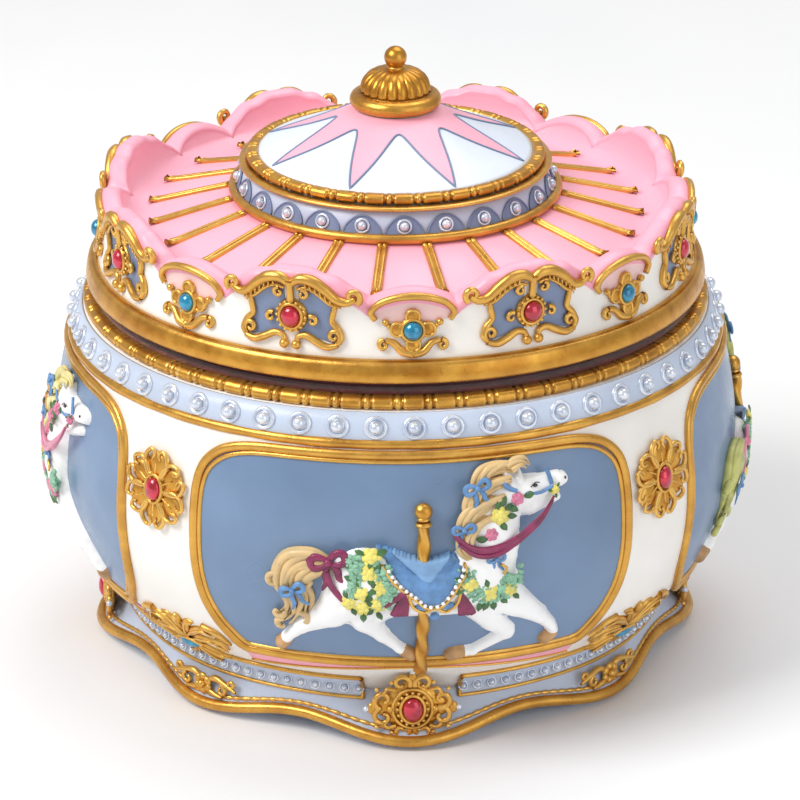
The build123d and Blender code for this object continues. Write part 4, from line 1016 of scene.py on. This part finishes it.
def horses():
    """Four galloping horses in relief; front and back match, the side ones have their own colours."""
    body = Clay().add(*PANEL.field(horse_height, -36, 38, 21, 74, 0.32))
    body.sides("horse_bodies", HORSE_WHITE, [f"horse_{side}" for side in SIDES])
    hooves = Clay().add(*PANEL.field(hoof_height, -36, 38, 21, 32, 0.3))
    cloth = Clay().add(*PANEL.field(cloth_height(BLANKET_EDGE, 0.35, 0.1), -12, 14, 36, 58, 0.3, -0.2))
    seat = Clay().add(*PANEL.field(cloth_height(SADDLE_EDGE, 0.62, least=2.5), -8, 12, 40, 58, 0.3, -0.2))
    hair = Clay()
    for part in (tail_locks(), mane_locks()):
        hair.add(part.verts, part.faces)
    bands = ribbons()
    petals, blossoms, leaves = flowers()
    bows = blue_bows()
    beads, cord = cloth_trim()
    for name, clay, material, angles in (
            ("horse_hooves", hooves, HOOF, EVERY_SIDE),
            ("saddle_cloths_blue", cloth, BLANKET, (FRONT, BACK)),
            ("saddle_cloth_silver", cloth, GREY_BLUE, (RIGHT,)),
            ("saddle_cloth_rose", cloth, ROSE_PINK, (LEFT,)),
            ("saddles", seat, SADDLE, EVERY_SIDE),
            ("horse_hair_tan", hair, TAN_HAIR, (FRONT, BACK)),
            ("horse_hair_straw", hair, STRAW_HAIR, (LEFT,)),
            ("horse_hair_olive", hair, OLIVE_HAIR, (RIGHT,)),
            ("ribbons_maroon", bands, MAROON, (FRONT, BACK)),
            ("ribbons_pink", bands, ROSE_PINK, (RIGHT, LEFT)),
            ("flower_garlands", garlands(), GARLAND, EVERY_SIDE),
            ("yellow_roses", petals, YELLOW, (FRONT, RIGHT, BACK)),
            ("pink_roses", petals, ROSE_PINK, (LEFT,)),
            ("pink_blossoms", blossoms, ROSE_PINK, (FRONT, BACK, LEFT)),
            ("violet_blossoms", blossoms, VIOLET, (RIGHT,)),
            ("garland_leaves", leaves, LEAF, EVERY_SIDE),
            ("blue_bows", bows, BLANKET, EVERY_SIDE),
            ("saddle_cloth_beads", beads, HORSE_WHITE, EVERY_SIDE),
            ("saddle_cloth_cords", cord, GOLD, EVERY_SIDE),
            ("horse_eyes", eyes(), DARK, EVERY_SIDE)):
        slot = "gold_paint" if material is GOLD else "horse_paint"
        clay.turned(*angles).piece(name, material, "case", slot=slot)


POLE_X = 1.6


def poles():
    """Twisted gold pole in each panel, with a collar and a ball."""
    one = Clay()
    z = np.linspace(21.4, 59.2, 120)

    def twisted(a, t):
        return 1 + 0.16 * np.cos(2 * a - t * 37)
    path = PANEL.at(np.full(z.shape, POLE_X), z, 1.35)
    one.add(*tube(path, 1.35, 12, twist=twisted))
    one.bead(PANEL, POLE_X, 58.6, (1.9, 0.75, 1.7), 1.35, seg=16)
    one.bead(PANEL, POLE_X, 59.8, (1.45, 0.8, 1.3), 1.35, seg=16)
    one.bead(PANEL, POLE_X, 61.4, (1.95, 1.95, 1.65), 1.3, seg=18, rings=12)
    one.sides("twisted_poles", GOLD, "carousel_poles")


# ---------------------------------------------------------------- plinth


def lobe_radius(angle):
    """Radius of the plinth's foot: four large lobes with four smaller ones between."""
    a = radians(angle)
    return 66.7 + 1.75 * cos(4 * a) + 2.05 * cos(8 * a)


def edge_rise(angle):
    """Height of the plinth's lower edge, which arches up between the lobes."""
    return 2.0 + 1.4 * (1 - cos(radians(8 * angle)))


def apron_radius(angle, z):
    """Radius of the plinth's outer face at a height."""
    foot, low = lobe_radius(angle) - 1.4, edge_rise(angle)
    t = min(max((z - low) / (CASE_Z0 - low), 0.0), 1.0)
    return foot + (61.85 - foot) * (t + 0.16 * sin(pi * t))


def apron_point(angle, z, lift=0.0):
    """Point on the plinth's outer face."""
    return on_ring(angle, apron_radius(angle, z) + lift, z)


def plinth():
    """Lobed apron with an arched lower edge, hollow underneath."""
    def outline(angle):
        low = edge_rise(angle)
        rows = [low + (CASE_Z0 - low) * t for t in np.linspace(0, 1, 12)]
        outer = [(apron_radius(angle, z), z) for z in rows]
        return [(54.0, max(low - 1.3, 0.62)), (lobe_radius(angle) - 1.7, max(low - 1.3,
            0.62))] + outer + [(47.2, CASE_Z0), (47.2, 10.0), (54.0, 10.0)]
    Clay().add(*lathe(outline, 360)).piece("plinth_apron", APRON_BLUE, "case", "base_plinth")


def plinth_edge():
    """Gold cord that follows the waving edge, with a notched strip inside it."""
    cord = Clay()
    path = []
    for angle in ring_angles(480):
        path.append(on_ring(angle, lobe_radius(angle) - 1.3, edge_rise(angle)))
    cord.add(*tube(path, 1.27, 12, closed=True))
    count = 1440
    strip = [apron_point(angle, edge_rise(angle) + 1.9, 0.1) for angle in ring_angles(count)]
    size = [0.34 + 0.2 * abs(sin(pi * k / 8)) for k in range(count)]
    cord.add(*tube(strip, size, 6, closed=True))
    cord.piece("plinth_edge_cord", GOLD, "case", "base_edge_trim")


BELT_ENDS = 9.8, 80.2  # angles between which each quarter of the belt runs


def belt():
    """Band between two gold lines, with strings of pearls between the medallions."""
    field, lines, pearls, cups = Clay(), Clay(), Clay(), Clay()
    angles = np.linspace(*BELT_ENDS, 90)
    rows = []
    for angle in angles:
        low = apron_radius(angle, 9.4)
        profile = [(low - 0.1, 9.2), (low + 0.15, 9.6), (62.55, 11.4), (63.2, 13.2), (65.0, 15.4),
            (64.2, 15.5)]
        rows.append([on_ring(angle, r, z) for r, z in profile])
    field.add(*grid(rows))
    low_line = [apron_point(a, 9.5, 0.25) for a in angles]
    high_line = BOWL.place(angles, np.full(angles.shape, 15.5), 0.35)
    lines.add(*tube(low_line, 0.42, 8))
    lines.add(*tube(high_line, 0.5, 8))
    for a in BELT_ENDS:
        bar = [apron_point(a, 9.4, 0.3), *BOWL.place(a, np.array([12.4, 15.6]), 0.6)]
        lines.add(*tube(smooth_path(bar, 4), 0.45, 8))
    for k in range(24):
        a = radians(9 + 72 * (k + 0.5) / 24)
        spot = np.array((63.25 * sin(a), -63.25 * cos(a), 12.0))
        n = np.array((sin(a), -cos(a), 0.25))
        pearls.add(*ball(spot, (0.72, 0.72, 0.85), n, seg=12, rings=8))
        cups.add(*loop(spot - n * 0.1, n, 0.98, 0.22, count=16, sides=6))
    field.sides("belt_field", BAND_BLUE)
    lines.sides("belt_lines", GOLD)
    pearls.sides("belt_pearl_strings", PEARL, "belt_pearls")
    cups.sides("belt_pearl_cups", PEARL)


def pink_strip():
    """Pink strip under each panel, thinning towards the middle, with a gold swirl line below it."""
    strip, line = Clay(), Clay()
    x = np.linspace(-43, 43, 120)
    low = 17.6 + 2.6 * np.cos(np.clip(x / 44, -1, 1) * pi / 2) ** 2
    strip.add(*PANEL.strip(x, low, 21.6, 0.2, 3))
    line.rod(PANEL, [(-43, 17.4), (-30, 18.4), (-16, 19.6), (-6, 20.4), (0, 20.6), (6, 20.4), (16, 19.6),
        (30, 18.4), (43, 17.4)], 0.32, 0.35, sides=6)
    strip.sides("sill_pink_strips", PINK)
    line.sides("sill_lines", GOLD)


class Upright:
    """The flat place in front of the plinth at one angle, used like a wall."""

    def __init__(self, angle, out, lean=0.0):
        a = radians(angle)
        self.n = np.array((sin(a), -cos(a), lean))
        self.side = np.array((cos(a), sin(a), 0.0))
        self.out = out

    def at(self, x, z, lift=0.0):
        """Points in space from flat ones."""
        x, z = np.asarray(x, float), np.asarray(z, float)
        flat = np.multiply.outer(x, self.side) + np.multiply.outer(self.out + lift, self.n * (1, 1, 0))
        up = np.multiply.outer(z, np.array((0, 0, 1.0)))
        return flat + up

    def normal(self, x, z):
        """Direction straight out of the wall."""
        return self.n

    tube = Wall.tube
    ball = Wall.ball


def medallions():
    """Diamond of C-scrolls round an oval ruby in a double bezel, with three small pearls."""
    flat = Upright(0, 67.0)
    gold, pearls = Clay(), Clay()
    z = 9.4
    for size in ((5.6, 5.6, 1.0), (8.6, 3.6, 0.9), (3.6, 7.2, 0.9), (6.6, 6.0, 0.7)):
        gold.bead(flat, 0, z, size, -0.5, seg=24)
    for hand in (-1, 1):
        gold.rod(flat, curl(hand * 6.4, z + 2.0, 2.3, 250, 0.95, hand), [0.7, 0.6, 0.4], 0.3, sides=7)
        gold.rod(flat, curl(hand * 6.4, z - 2.0, 2.3, 110, 0.95, -hand), [0.7, 0.6, 0.4], 0.3, sides=7)
        gold.rod(flat, curl(hand * 2.5, z + 6.0, 2.1, aim(hand, 200), 0.95, -hand), [0.7, 0.6, 0.4], 0.3,
            sides=7)
        gold.rod(flat, curl(hand * 2.5, z - 5.6, 2.0, aim(hand, 160), 0.95, hand), [0.7, 0.6, 0.4], 0.3,
            sides=7)
        gold.rod(flat, [(hand * 3.6, z + 4.4), (hand * 5.6, z + 4.8), (hand * 6.4, z + 3.4)], 0.45, 0.5)
        gold.rod(flat, [(hand * 3.6, z - 4.2), (hand * 5.6, z - 4.6), (hand * 6.4, z - 3.4)], 0.45, 0.5)
        gold.bead(flat, hand * 5.0, z, 0.8, 0.7, seg=10)
        gold.bead(flat, hand * 9.0, z, (1.0, 1.5, 0.8), 0.1, seg=10)
        for u, v in ((4.6, 6.2), (7.9, 4.6), (7.9, -4.6), (4.6, -6.0)):
            gold.bead(flat, hand * u, z + v, 0.55, 0.2, seg=8, rings=6)
        pearls.bead(flat, hand * 10.2, z, 0.72, 0.2, seg=10)
    gold.bead(flat, 0, z + 7.6, (1.0, 1.3, 0.8), 0.2)
    gold.bead(flat, 0, z - 6.9, (1.0, 1.1, 0.8), 0.2)
    pearls.bead(flat, 0, z - 7.6, 0.7, 0.5, seg=10)
    pearls.bead(flat, 0, z + 8.6, 0.6, 0.2, seg=10)
    stone_seat(flat, gold, 0, z, 2.3, 2.9, 1.2, beads=16)
    gold.add(*loop(flat.at(0, z, 0.7), flat.n, 4.4, 0.4, 1.08))
    gold.sides("medallion_scrolls", GOLD, "base_medallions")
    pearls.sides("medallion_pearls", PEARL)
    stone = Clay().add(*flat.ball(0, z, (2.2, 2.8, 1.4), 1.4, seg=20, rings=12))
    return stone.turned(*EVERY_SIDE)


def lobe_scrolls():
    """Long leaf scroll with a flower in the middle, over each smaller lobe."""
    flat = Upright(45, 63.9)
    gold = Clay()
    z = 6.2
    for hand in (-1, 1):
        gold.rod(flat, [(0, z), (hand * 3.2, z + 1.9), (hand * 6.4, z + 1.2), (hand * 9.6, z + 0.2)],
            [0.6, 0.8, 0.7, 0.3], 0.4, sides=7)
        gold.rod(flat, curl(hand * 5.2, z - 0.4, 1.5, 90, 1.0, -hand), [0.6, 0.5, 0.3], 0.6, sides=7)
        gold.rod(flat, [(0, z - 0.6), (hand * 3.0, z - 1.8), (hand * 5.6, z - 2.2)], [0.5, 0.7, 0.3], 0.8)
        gold.rod(flat, curl(hand * 8.2, z + 1.5, 1.1, aim(hand, 200), 0.9, -hand), [0.5, 0.3], 0.2)
    for k in range(6):
        a = radians(60 * k + 30)
        gold.bead(flat, 1.7 * cos(a), z + 1.7 * sin(a), (0.9, 1.2, 0.7), 1.0, a, seg=10)
    gold.bead(flat, 0, z, 0.95, 1.4, seg=12)
    gold.sides("lobe_scroll_leaves", GOLD, "base_scrolls")


# ---------------------------------------------------------------- lid


DIP_Z, DIP_ANGLE = 103.9, 8.4  # dips of the crown's edge: height, and degrees from each small lobe
SMALL_LOBE, LARGE_LOBE = 3.3, 6.8  # heights of the lobes above the dips
HALF_EIGHTH = 22.5  # degrees from a small lobe to the next large one
ROOF_IN, ROOF_OUT = 36.0, 56.0  # radii where the pink roof starts at the drum and meets the crown
ROOF_HIGH, ROOF_LOW = 106.7, 101.7  # its heights there
RIB_COUNT = 24


def off_small_lobe(angle):
    """Degrees from the nearest small lobe of the crown."""
    return abs((angle + HALF_EIGHTH) % 45.0 - HALF_EIGHTH)


def crown_height(angle):
    """Height of the crown's edge: large lobes over the ruby cartouches, small ones over the teal ones."""
    off = off_small_lobe(angle)
    if off < DIP_ANGLE:
        return DIP_Z + SMALL_LOBE * cos(radians(90 * off / DIP_ANGLE)) ** 0.8
    part = (off - DIP_ANGLE) / (HALF_EIGHTH - DIP_ANGLE)
    ripple = 0.3 * sin(pi * part) * cos(part * pi * 5)
    return DIP_Z + LARGE_LOBE * sin(radians(90 * part)) ** 0.75 + ripple


def roof_z(r):
    """Height of the roof's even slope at a radius."""
    return ROOF_HIGH + (ROOF_LOW - ROOF_HIGH) * (r - ROOF_IN) / (ROOF_OUT - ROOF_IN)


def inner_crown_radius(z):
    """Inner radius of the crown, which rounds over into the roof."""
    return float(np.interp(z, [101.6, 102.2, 103.2, 105.0, 107.0, 112.0], [56.0, 58.6, 60.6, 61.6, 62.2,
        62.8]))


def canopy():
    """Pink roof inside the crown, the crown's rounded rim, and its white outer wall."""
    def roof(angle):
        top = crown_height(angle)
        puff = 0.5 * abs(cos(radians(angle * RIB_COUNT / 2)))
        slope = [(ROOF_IN + (ROOF_OUT - ROOF_IN) * t, roof_z(ROOF_IN + (ROOF_OUT - ROOF_IN) * t)
            + puff * sin(pi * t)) for t in np.linspace(0, 1, 12)]
        wall = [(inner_crown_radius(z), z) for z in np.linspace(102.2, top - 1.2, 9)]
        inner_r, outer_r = wall[-1][0], float(CROWN.radius(top - 1.2))
        middle, half = (inner_r + outer_r) / 2, (outer_r - inner_r) / 2
        cap = [(middle - half * cos(t) * 1.03, top - 1.2 + 1.5 * sin(t)) for t in np.linspace(0.15, pi,
            10)]
        return slope + wall + cap + [(outer_r + 0.12, top - 2.6), (outer_r - 0.3, top - 3.0)]

    def shell(angle):
        top = crown_height(angle) - 2.4
        outer = [(float(CROWN.radius(z)), z) for z in np.linspace(BAND_Z1, top, 14)]
        return [(63.4, BAND_Z0), (67.4, BAND_Z0), (67.4, BAND_Z1 - 0.2)] + outer + [(64.5, top),
            (62.6, 100.0), (57.0, 100.6), (36.6, 105.8), (29.0, 106.0), (29.0, 103.8), (55.5, 98.0),
            (62.4, 95.0)]
    Clay().add(*lathe(roof, 960, closed=False)).piece("canopy_roof", PINK, "lid")
    Clay().add(*lathe(shell, 480)).piece("canopy_wall", CREAM, "lid", "canopy")


def crown_band():
    """Broad gold moulding round the foot of the lid."""
    outline = [(67.42, BAND_Z0), (69.5, BAND_Z0), (70.2, 87.7), (70.4, 88.3), (70.25, 89.6), (69.9, 91.2),
        (69.5, 91.9), (69.0, 92.15), (68.6, 91.9), (68.3, 92.2), (67.42, 92.2)]
    Clay().add(*lathe(outline, 240)).piece("crown_band_moulding", GOLD, "lid", "crown_band")


RED_WALL = Wall(CROWN, CROWN_R, centre=22.5)
BLUE_WALL = Wall(CROWN, CROWN_R, centre=0.0)


def red_cartouches():
    """Two leafy S-scroll arms over grey-blue fields, feet with curls, and a beaded seat for the ruby."""
    gold, field, stones = Clay(), Clay(), Clay()
    w, z = RED_WALL, 100.4
    for hand in (-1, 1):
        def side(*points):
            return [(hand * x, z + y) for x, y in points]
        gold.rod(w, side((0, 7.4), (2.2, 8.8), (5.0, 8.5), (7.6, 6.8), (9.9, 4.7), (12.2, 4.1),
            (14.2, 5.2)), [0.9, 1.2, 1.3, 1.2, 1.05, 0.95, 0.7], 0.7, sides=9)
        gold.rod(w, side((1.4, 6.4), (3.8, 6.9), (6.2, 5.6), (8.6, 3.6), (11.0, 2.9)), [0.35, 0.5, 0.5,
            0.5, 0.3], 0.75, sides=7)
        for step in range(7):
            x, y = 3.4 + step * 1.05, 8.4 - step * 0.22 - 0.085 * step * step
            gold.rod(w, side((x, y), (x + 0.35, y - 1.5)), 0.2, 1.55, per_span=2, sides=5)
        gold.rod(w, curl(hand * 13.6, z + 5.6, 1.7, aim(hand, -60), 1.05, hand), [0.85, 0.65, 0.4], 0.85,
            sides=7)
        gold.rod(w, curl(hand * 2.7, z + 5.3, 1.2, aim(hand, 100), 1.0, -hand), [0.6, 0.45, 0.3], 0.9,
            sides=7)
        gold.rod(w, side((9.8, 3.8), (9.3, 1.4), (9.0, -0.6), (10.3, -2.2), (11.0, -4.2), (10.2, -5.6)),
            [0.5, 0.7, 0.65, 0.8, 0.8, 0.6], 0.6, sides=8)
        gold.rod(w, curl(hand * 9.5, z - 3.9, 1.5, aim(hand, -30), 1.1, hand), [0.7, 0.55, 0.3], 0.75,
            sides=7)
        gold.rod(w, side((10.4, -5.7), (8.2, -6.2), (5.8, -5.3), (3.6, -4.2), (1.8, -4.6), (1.4, -5.8)),
            [0.6, 0.85, 0.9, 0.8, 0.7, 0.6], 0.65, sides=8)
        gold.rod(w, curl(hand * 4.7, z - 0.8, 1.2, aim(hand, 120), 0.9, -hand), [0.6, 0.45, 0.3], 0.9,
            sides=7)
        gold.bead(w, hand * 1.35, z - 6.3, 1.1, 0.7, seg=12)
        x = np.linspace(1.6, 9.4, 14) * hand
        top = np.interp(np.abs(x), [1.6, 5, 7.4, 9.4], [z + 6.8, z + 6.4, z + 4.6, z + 3.2])
        low = np.interp(np.abs(x), [1.6, 4.5, 9.4], [z - 3.8, z - 4.2, z - 5.4])
        field.add(*w.strip(x, low, top, 0.16, 8, hand))
    gold.rod(w, [(0, z + 8.4), (0, z + 6.2), (0, z + 3.6)], [1.1, 0.8, 0.9], 0.9, sides=8)
    gold.bead(w, 0, z, (3.6, 3.8, 1.2), 0.3, seg=24)
    stone_seat(w, gold, 0, z, 2.15, 2.35, 1.3, beads=16)
    stones.bead(w, 0, z, (2.1, 2.3, 1.5), 1.5, seg=24, rings=14)
    gold.eighths("red_cartouche_scrolls", GOLD, "red_cartouches")
    field.eighths("red_cartouche_fields", GREY_BLUE)
    stones.eighths("crown_rubies", RUBY, "crown_red_stones")


def blue_cartouches():
    """Arch over a pale pink field, and a four-lobed flower round a teal stone."""
    gold, field, stones = Clay(), Clay(), Clay()
    w, z = BLUE_WALL, 98.4
    arch = [(-8.0, z + 2.2), (-8.9, z + 4.0), (-7.0, z + 6.2), (-3.6, z + 7.5), (0, z + 7.9),
        (3.6, z + 7.5), (7.0, z + 6.2), (8.9, z + 4.0), (8.0, z + 2.2)]
    gold.rod(w, arch, [0.6, 0.75, 0.8, 0.85, 0.9, 0.85, 0.8, 0.75, 0.6], 0.6, sides=8)
    x = np.linspace(-8.2, 8.2, 22)
    top = np.interp(x, [-8.2, -7.0, -3.6, 0, 3.6, 7.0, 8.2], [z + 4.9, z + 6.2, z + 7.5, z + 7.9, z + 7.5,
        z + 6.2, z + 4.9])
    low = z + 1.6 + 0.9 * (x / 8.2) ** 2
    field.add(*w.strip(x, low, top, 0.14, 6))
    for u, v in ((0, 3.2), (3.3, 0.2), (0, -3.2), (-3.3, 0.2)):
        gold.bead(w, u, z + v, (1.75, 1.75, 0.9), 0.4, seg=16)
        gold.add(*loop(w.at(u, z + v, 0.95), w.normal(u, z + v), 1.45, 0.34, count=18, sides=6))
    for hand in (-1, 1):
        gold.bead(w, hand * 5.8, z + 1.8, 0.8, 0.8, seg=10)
        gold.rod(w, [(hand * 5.8, z + 1.6), (hand * 4.6, z + 0.2)], 0.5, 0.5, sides=6)
        gold.rod(w, [(0, z - 5.2), (hand * 2.2, z - 4.6), (hand * 4.0, z - 2.8), (hand * 5.8, z - 2.2)],
            [0.9, 0.9, 0.8, 0.6], 0.6, sides=8)
        gold.rod(w, curl(hand * 6.2, z - 3.3, 1.15, 90, 1.0, -hand), [0.6, 0.5, 0.3], 0.6, sides=7)
    gold.bead(w, 0, z - 4.9, (1.3, 0.9, 0.8), 0.6, seg=12)
    gold.bead(w, 0, z, (3.0, 3.0, 1.1), 0.3, seg=20)
    stone_seat(w, gold, 0, z, 2.0, 2.0, 1.2)
    stones.bead(w, 0, z, (2.0, 2.0, 1.5), 1.4, seg=22, rings=12)
    gold.eighths("blue_cartouche_scrolls", GOLD, "blue_cartouches")
    field.eighths("blue_cartouche_fields", PALE_PINK)
    stones.eighths("crown_teal_stones", TEAL, "crown_blue_stones")


def ribs():
    """Gold ribs with a groove along them, running down the canopy to the crown."""
    one = Clay()
    r = np.linspace(37.6, 56.2, 14)
    z = roof_z(r) + 0.1
    z[-2:] += (0.15, 0.7)
    for off in (-0.56, 0.56):
        path = np.stack((np.full(r.shape, off), -r, z + 0.3), 1)
        one.add(*tube(path, 0.58, 8))
    base = np.stack((np.zeros(r.shape), -r, z), 1)
    one.add(*tube(base, 1.2, 8, flat=0.4))
    one.turned(*((np.arange(RIB_COUNT) + 0.5) * 360 / RIB_COUNT)).piece("canopy_rib_mouldings", GOLD,
        "lid", "canopy_ribs")


def drum():
    """Pale blue drum with grey-blue half-round niches behind ringed pearls, between two gold rings."""
    Clay().add(*lathe([(36.4, 106.7), (33.5, 114.3), (29.2, 114.3), (29.2, 106.7)],
        192)).piece("drum_wall", BAND_BLUE, "lid")
    side = Face([(36.5, DRUM_FOOT_Z), (35.05, 110.5), (33.6, 114.4)])
    wall = Wall(side, 35.0)
    arches, pearls, cups = Clay(), Clay(), Clay()
    arch = [(-4.1, 108.9), (-3.5, 110.3), (-1.9, 111.8), (0, 112.3), (1.9, 111.8), (3.5, 110.3),
        (4.1, 108.9)]
    arches.rod(wall, arch, 0.22, 0.2, sides=6)
    x = np.linspace(-4.1, 4.1, 14)
    high = np.interp(x, *zip(*arch))
    arches.add(*wall.strip(x, 108.4, high, 0.18, 3))
    pearls.bead(wall, 0, 110.2, (1.05, 1.05, 1.0), 0.6, seg=14)
    cups.add(*loop(wall.at(0, 110.2, 0.3), wall.normal(0, 110.2), 1.45, 0.3))
    places = ring_angles(RIB_COUNT)
    arches.turned(*places).piece("drum_arches", GREY_BLUE, "lid")
    pearls.turned(*places).piece("drum_pearl_row", PEARL, "lid", "drum_pearls")
    cups.turned(*places).piece("drum_pearl_cups", PEARL, "lid")
    rings = Clay().add(*lathe(circle_outline(36.6, 107.8, 1.12), 240))
    rings.add(*lathe([(33.0, 113.4), (34.6, 113.42), (35.3, 113.8), (35.2, 114.2), (34.6, 114.42),
        (33.0, 114.42)], 240))
    rings.piece("drum_ring_mouldings", GOLD, "lid", "drum_rings")
    Clay().add(*bead_and_reel(33.7, 30.92, DISC_LOW[2], DISC_HIGH[2],
        DISC_REELS)).piece("disc_rim_moulding", GOLD, "lid", "disc_rim")


DRUM_FOOT_Z = 106.6
DISC = Face([(30.85, 116.3), (27.0, 117.9), (22.0, 119.85), (15.0, 122.9), (9.0, 126.15)])


def disc_height(r):
    """Height of the domed disc at a radius."""
    zs = np.linspace(116.3, 126.15, 120)
    return np.interp(-np.asarray(r, float), -DISC.radius(zs), zs)


def star_reach(angle, tip=30.2, valley=13.2):
    """How far the pink star reaches at an angle: eight flame-shaped petals."""
    t = off_small_lobe(angle) / HALF_EIGHTH
    return valley + (tip - valley) * t ** 1.9


def top_disc():
    """Pale domed disc with a pink star of eight petals."""
    zs = np.linspace(116.3, 126.15, 26)
    outline = [(float(DISC.radius(z)), z) for z in zs] + [(2.0, 126.2), (2.0, 122.9), (22, 116.6),
        (28, 114.5), (30.8, 114.5)]
    Clay().add(*lathe(outline, 240)).piece("top_disc_dome", DISC_WHITE, "lid", "top_disc")
    star, line = Clay(), Clay()
    rows, border = [], []
    for angle in np.arange(0, 360, 0.5):
        rs = np.linspace(9.2, star_reach(angle), 12)
        rows.append([on_ring(angle, r, z + 0.12) for r, z in zip(rs, disc_height(rs))])
        border.append(on_ring(angle, rs[-1], float(disc_height(rs[-1])) + 0.1))
    star.add(*grid(rows, wrap_u=True))
    line.add(*tube(border, 0.26, 6, closed=True))
    star.piece("disc_star", PINK, "lid")
    line.piece("disc_star_outline", GREY_BLUE, "lid")


def finial():
    """Round foot, ribbed dome and ball."""
    base = FINIAL_Z

    def outline(angle):
        rib = abs(sin(radians(angle * 10))) ** 0.7
        foot = [(8.6 + 1.7 * sin(t), base + 1.8 - 1.75 * cos(t)) for t in np.linspace(0, pi, 9)]
        dome = []
        for t in np.linspace(0.0, 1.0, 16):
            a = t * pi / 2
            r = 7.9 * cos(a) ** 0.75 + 0.9 * t
            depth = (0.72 * (1 - rib)) * cos(a) ** 0.5
            dome.append((max(r - depth, 0.9), base + 3.6 + 5.4 * sin(a)))
        return [(1.6, base + 0.1)] + foot + [(7.3, base + 3.6)] + dome + [(0.9, base + 4.6),
            (1.6, base + 3.0)]
    gold = Clay().add(*lathe(outline, 480))
    gold.add(*lathe(circle_outline(1.5, FINIAL_TOP - 5.0, 0.5), 48))
    gold.add(*ball((0, 0, FINIAL_TOP - 2.6), (2.55, 2.55, 2.55), (0, 0, 1), seg=32, rings=20))
    gold.piece("finial_dome", GOLD, "lid", "finial")


# ---------------------------------------------------------------- floor, lights and camera

FLOOR = finish("pale_floor", (240, 240, 240), (234, 235, 237), rough=0.6, cloud=3.0, grain=60.0, bump=0.02)


def floor():
    """Wide pale table that the box stands on."""
    n = 24
    xs = np.linspace(-3, 3, n)
    sheet = [(x, y, 0.0) for x in xs for y in xs]
    faces = [(i * n + j, (i + 1) * n + j, (i + 1) * n + j + 1, i * n + j + 1) for i in range(n - 1)
        for j in range(n - 1)]
    mesh = bpy.data.meshes.new("table")
    mesh.from_pydata(sheet, [], faces)
    mesh.materials.append(FLOOR)
    made = bpy.data.objects.new("table", mesh)
    bpy.context.scene.collection.objects.link(made)


def softbox(name, place, size, watts, colour=(1, 1, 1)):
    """Square area light aimed at the middle of the box."""
    lamp = bpy.data.lights.new(name, "AREA")
    lamp.energy, lamp.size, lamp.color = watts, size, colour
    made = bpy.data.objects.new(name, lamp)
    made.location = place
    made.rotation_euler = (Vector((0, 0, 0.06)) - Vector(place)).to_track_quat("-Z", "Y").to_euler()
    bpy.context.scene.collection.objects.link(made)


def studio():
    """Large soft light from the upper left, weaker fill from the right and the front."""
    softbox("key", (-0.75, -0.35, 0.95), 0.6, 11.5, (1.0, 0.985, 0.96))
    softbox("top", (0.25, 0.35, 1.1), 0.8, 5)
    softbox("fill", (0.75, -0.95, 0.45), 0.9, 3.2, (0.96, 0.98, 1.0))
    world = bpy.data.worlds.new("studio_air")
    world.use_nodes = True
    world.node_tree.nodes["Background"].inputs["Color"].default_value = (1.0, 1.0, 1.0, 1.0)
    world.node_tree.nodes["Background"].inputs["Strength"].default_value = 0.5
    bpy.context.scene.world = world


def camera():
    """Camera in front of the box, slightly to its left and looking down on it."""
    azimuth, elevation = radians(-3.21), radians(22.56)
    back = Vector((sin(azimuth) * cos(elevation), -cos(azimuth) * cos(elevation), sin(elevation)))
    right = Vector((cos(azimuth), sin(azimuth), 0.0))
    lens = bpy.data.cameras.new("camera")
    lens.sensor_width = 36.0
    lens.lens = 179.6
    made = bpy.data.objects.new("camera", lens)
    made.location = Vector((0, 0, 0.0548)) + back * 0.9225 + right * 0.00101
    made.rotation_euler = (-back).to_track_quat("-Z", "Y").to_euler()
    bpy.context.scene.collection.objects.link(made)
    bpy.context.scene.camera = made
    bpy.context.scene.view_settings.view_transform = "Standard"


# ---------------------------------------------------------------- build

refinish_kept_nodes()
case_wall()
panel_fields()
panel_frames()
waist()
pearl_band()
case_rim()
rim_pearls()
RUBIES = pilaster_flowers()
pilaster_leaves()
horses()
poles()
plinth()
plinth_edge()
belt()
pink_strip()
MEDALLION_RUBIES = medallions()
RUBIES.add(MEDALLION_RUBIES.verts, MEDALLION_RUBIES.faces)
RUBIES.piece("case_rubies", RUBY, "case", "case_red_stones")
lobe_scrolls()
canopy()
crown_band()
red_cartouches()
blue_cartouches()
ribs()
drum()
top_disc()
finial()
floor()
studio()
camera()
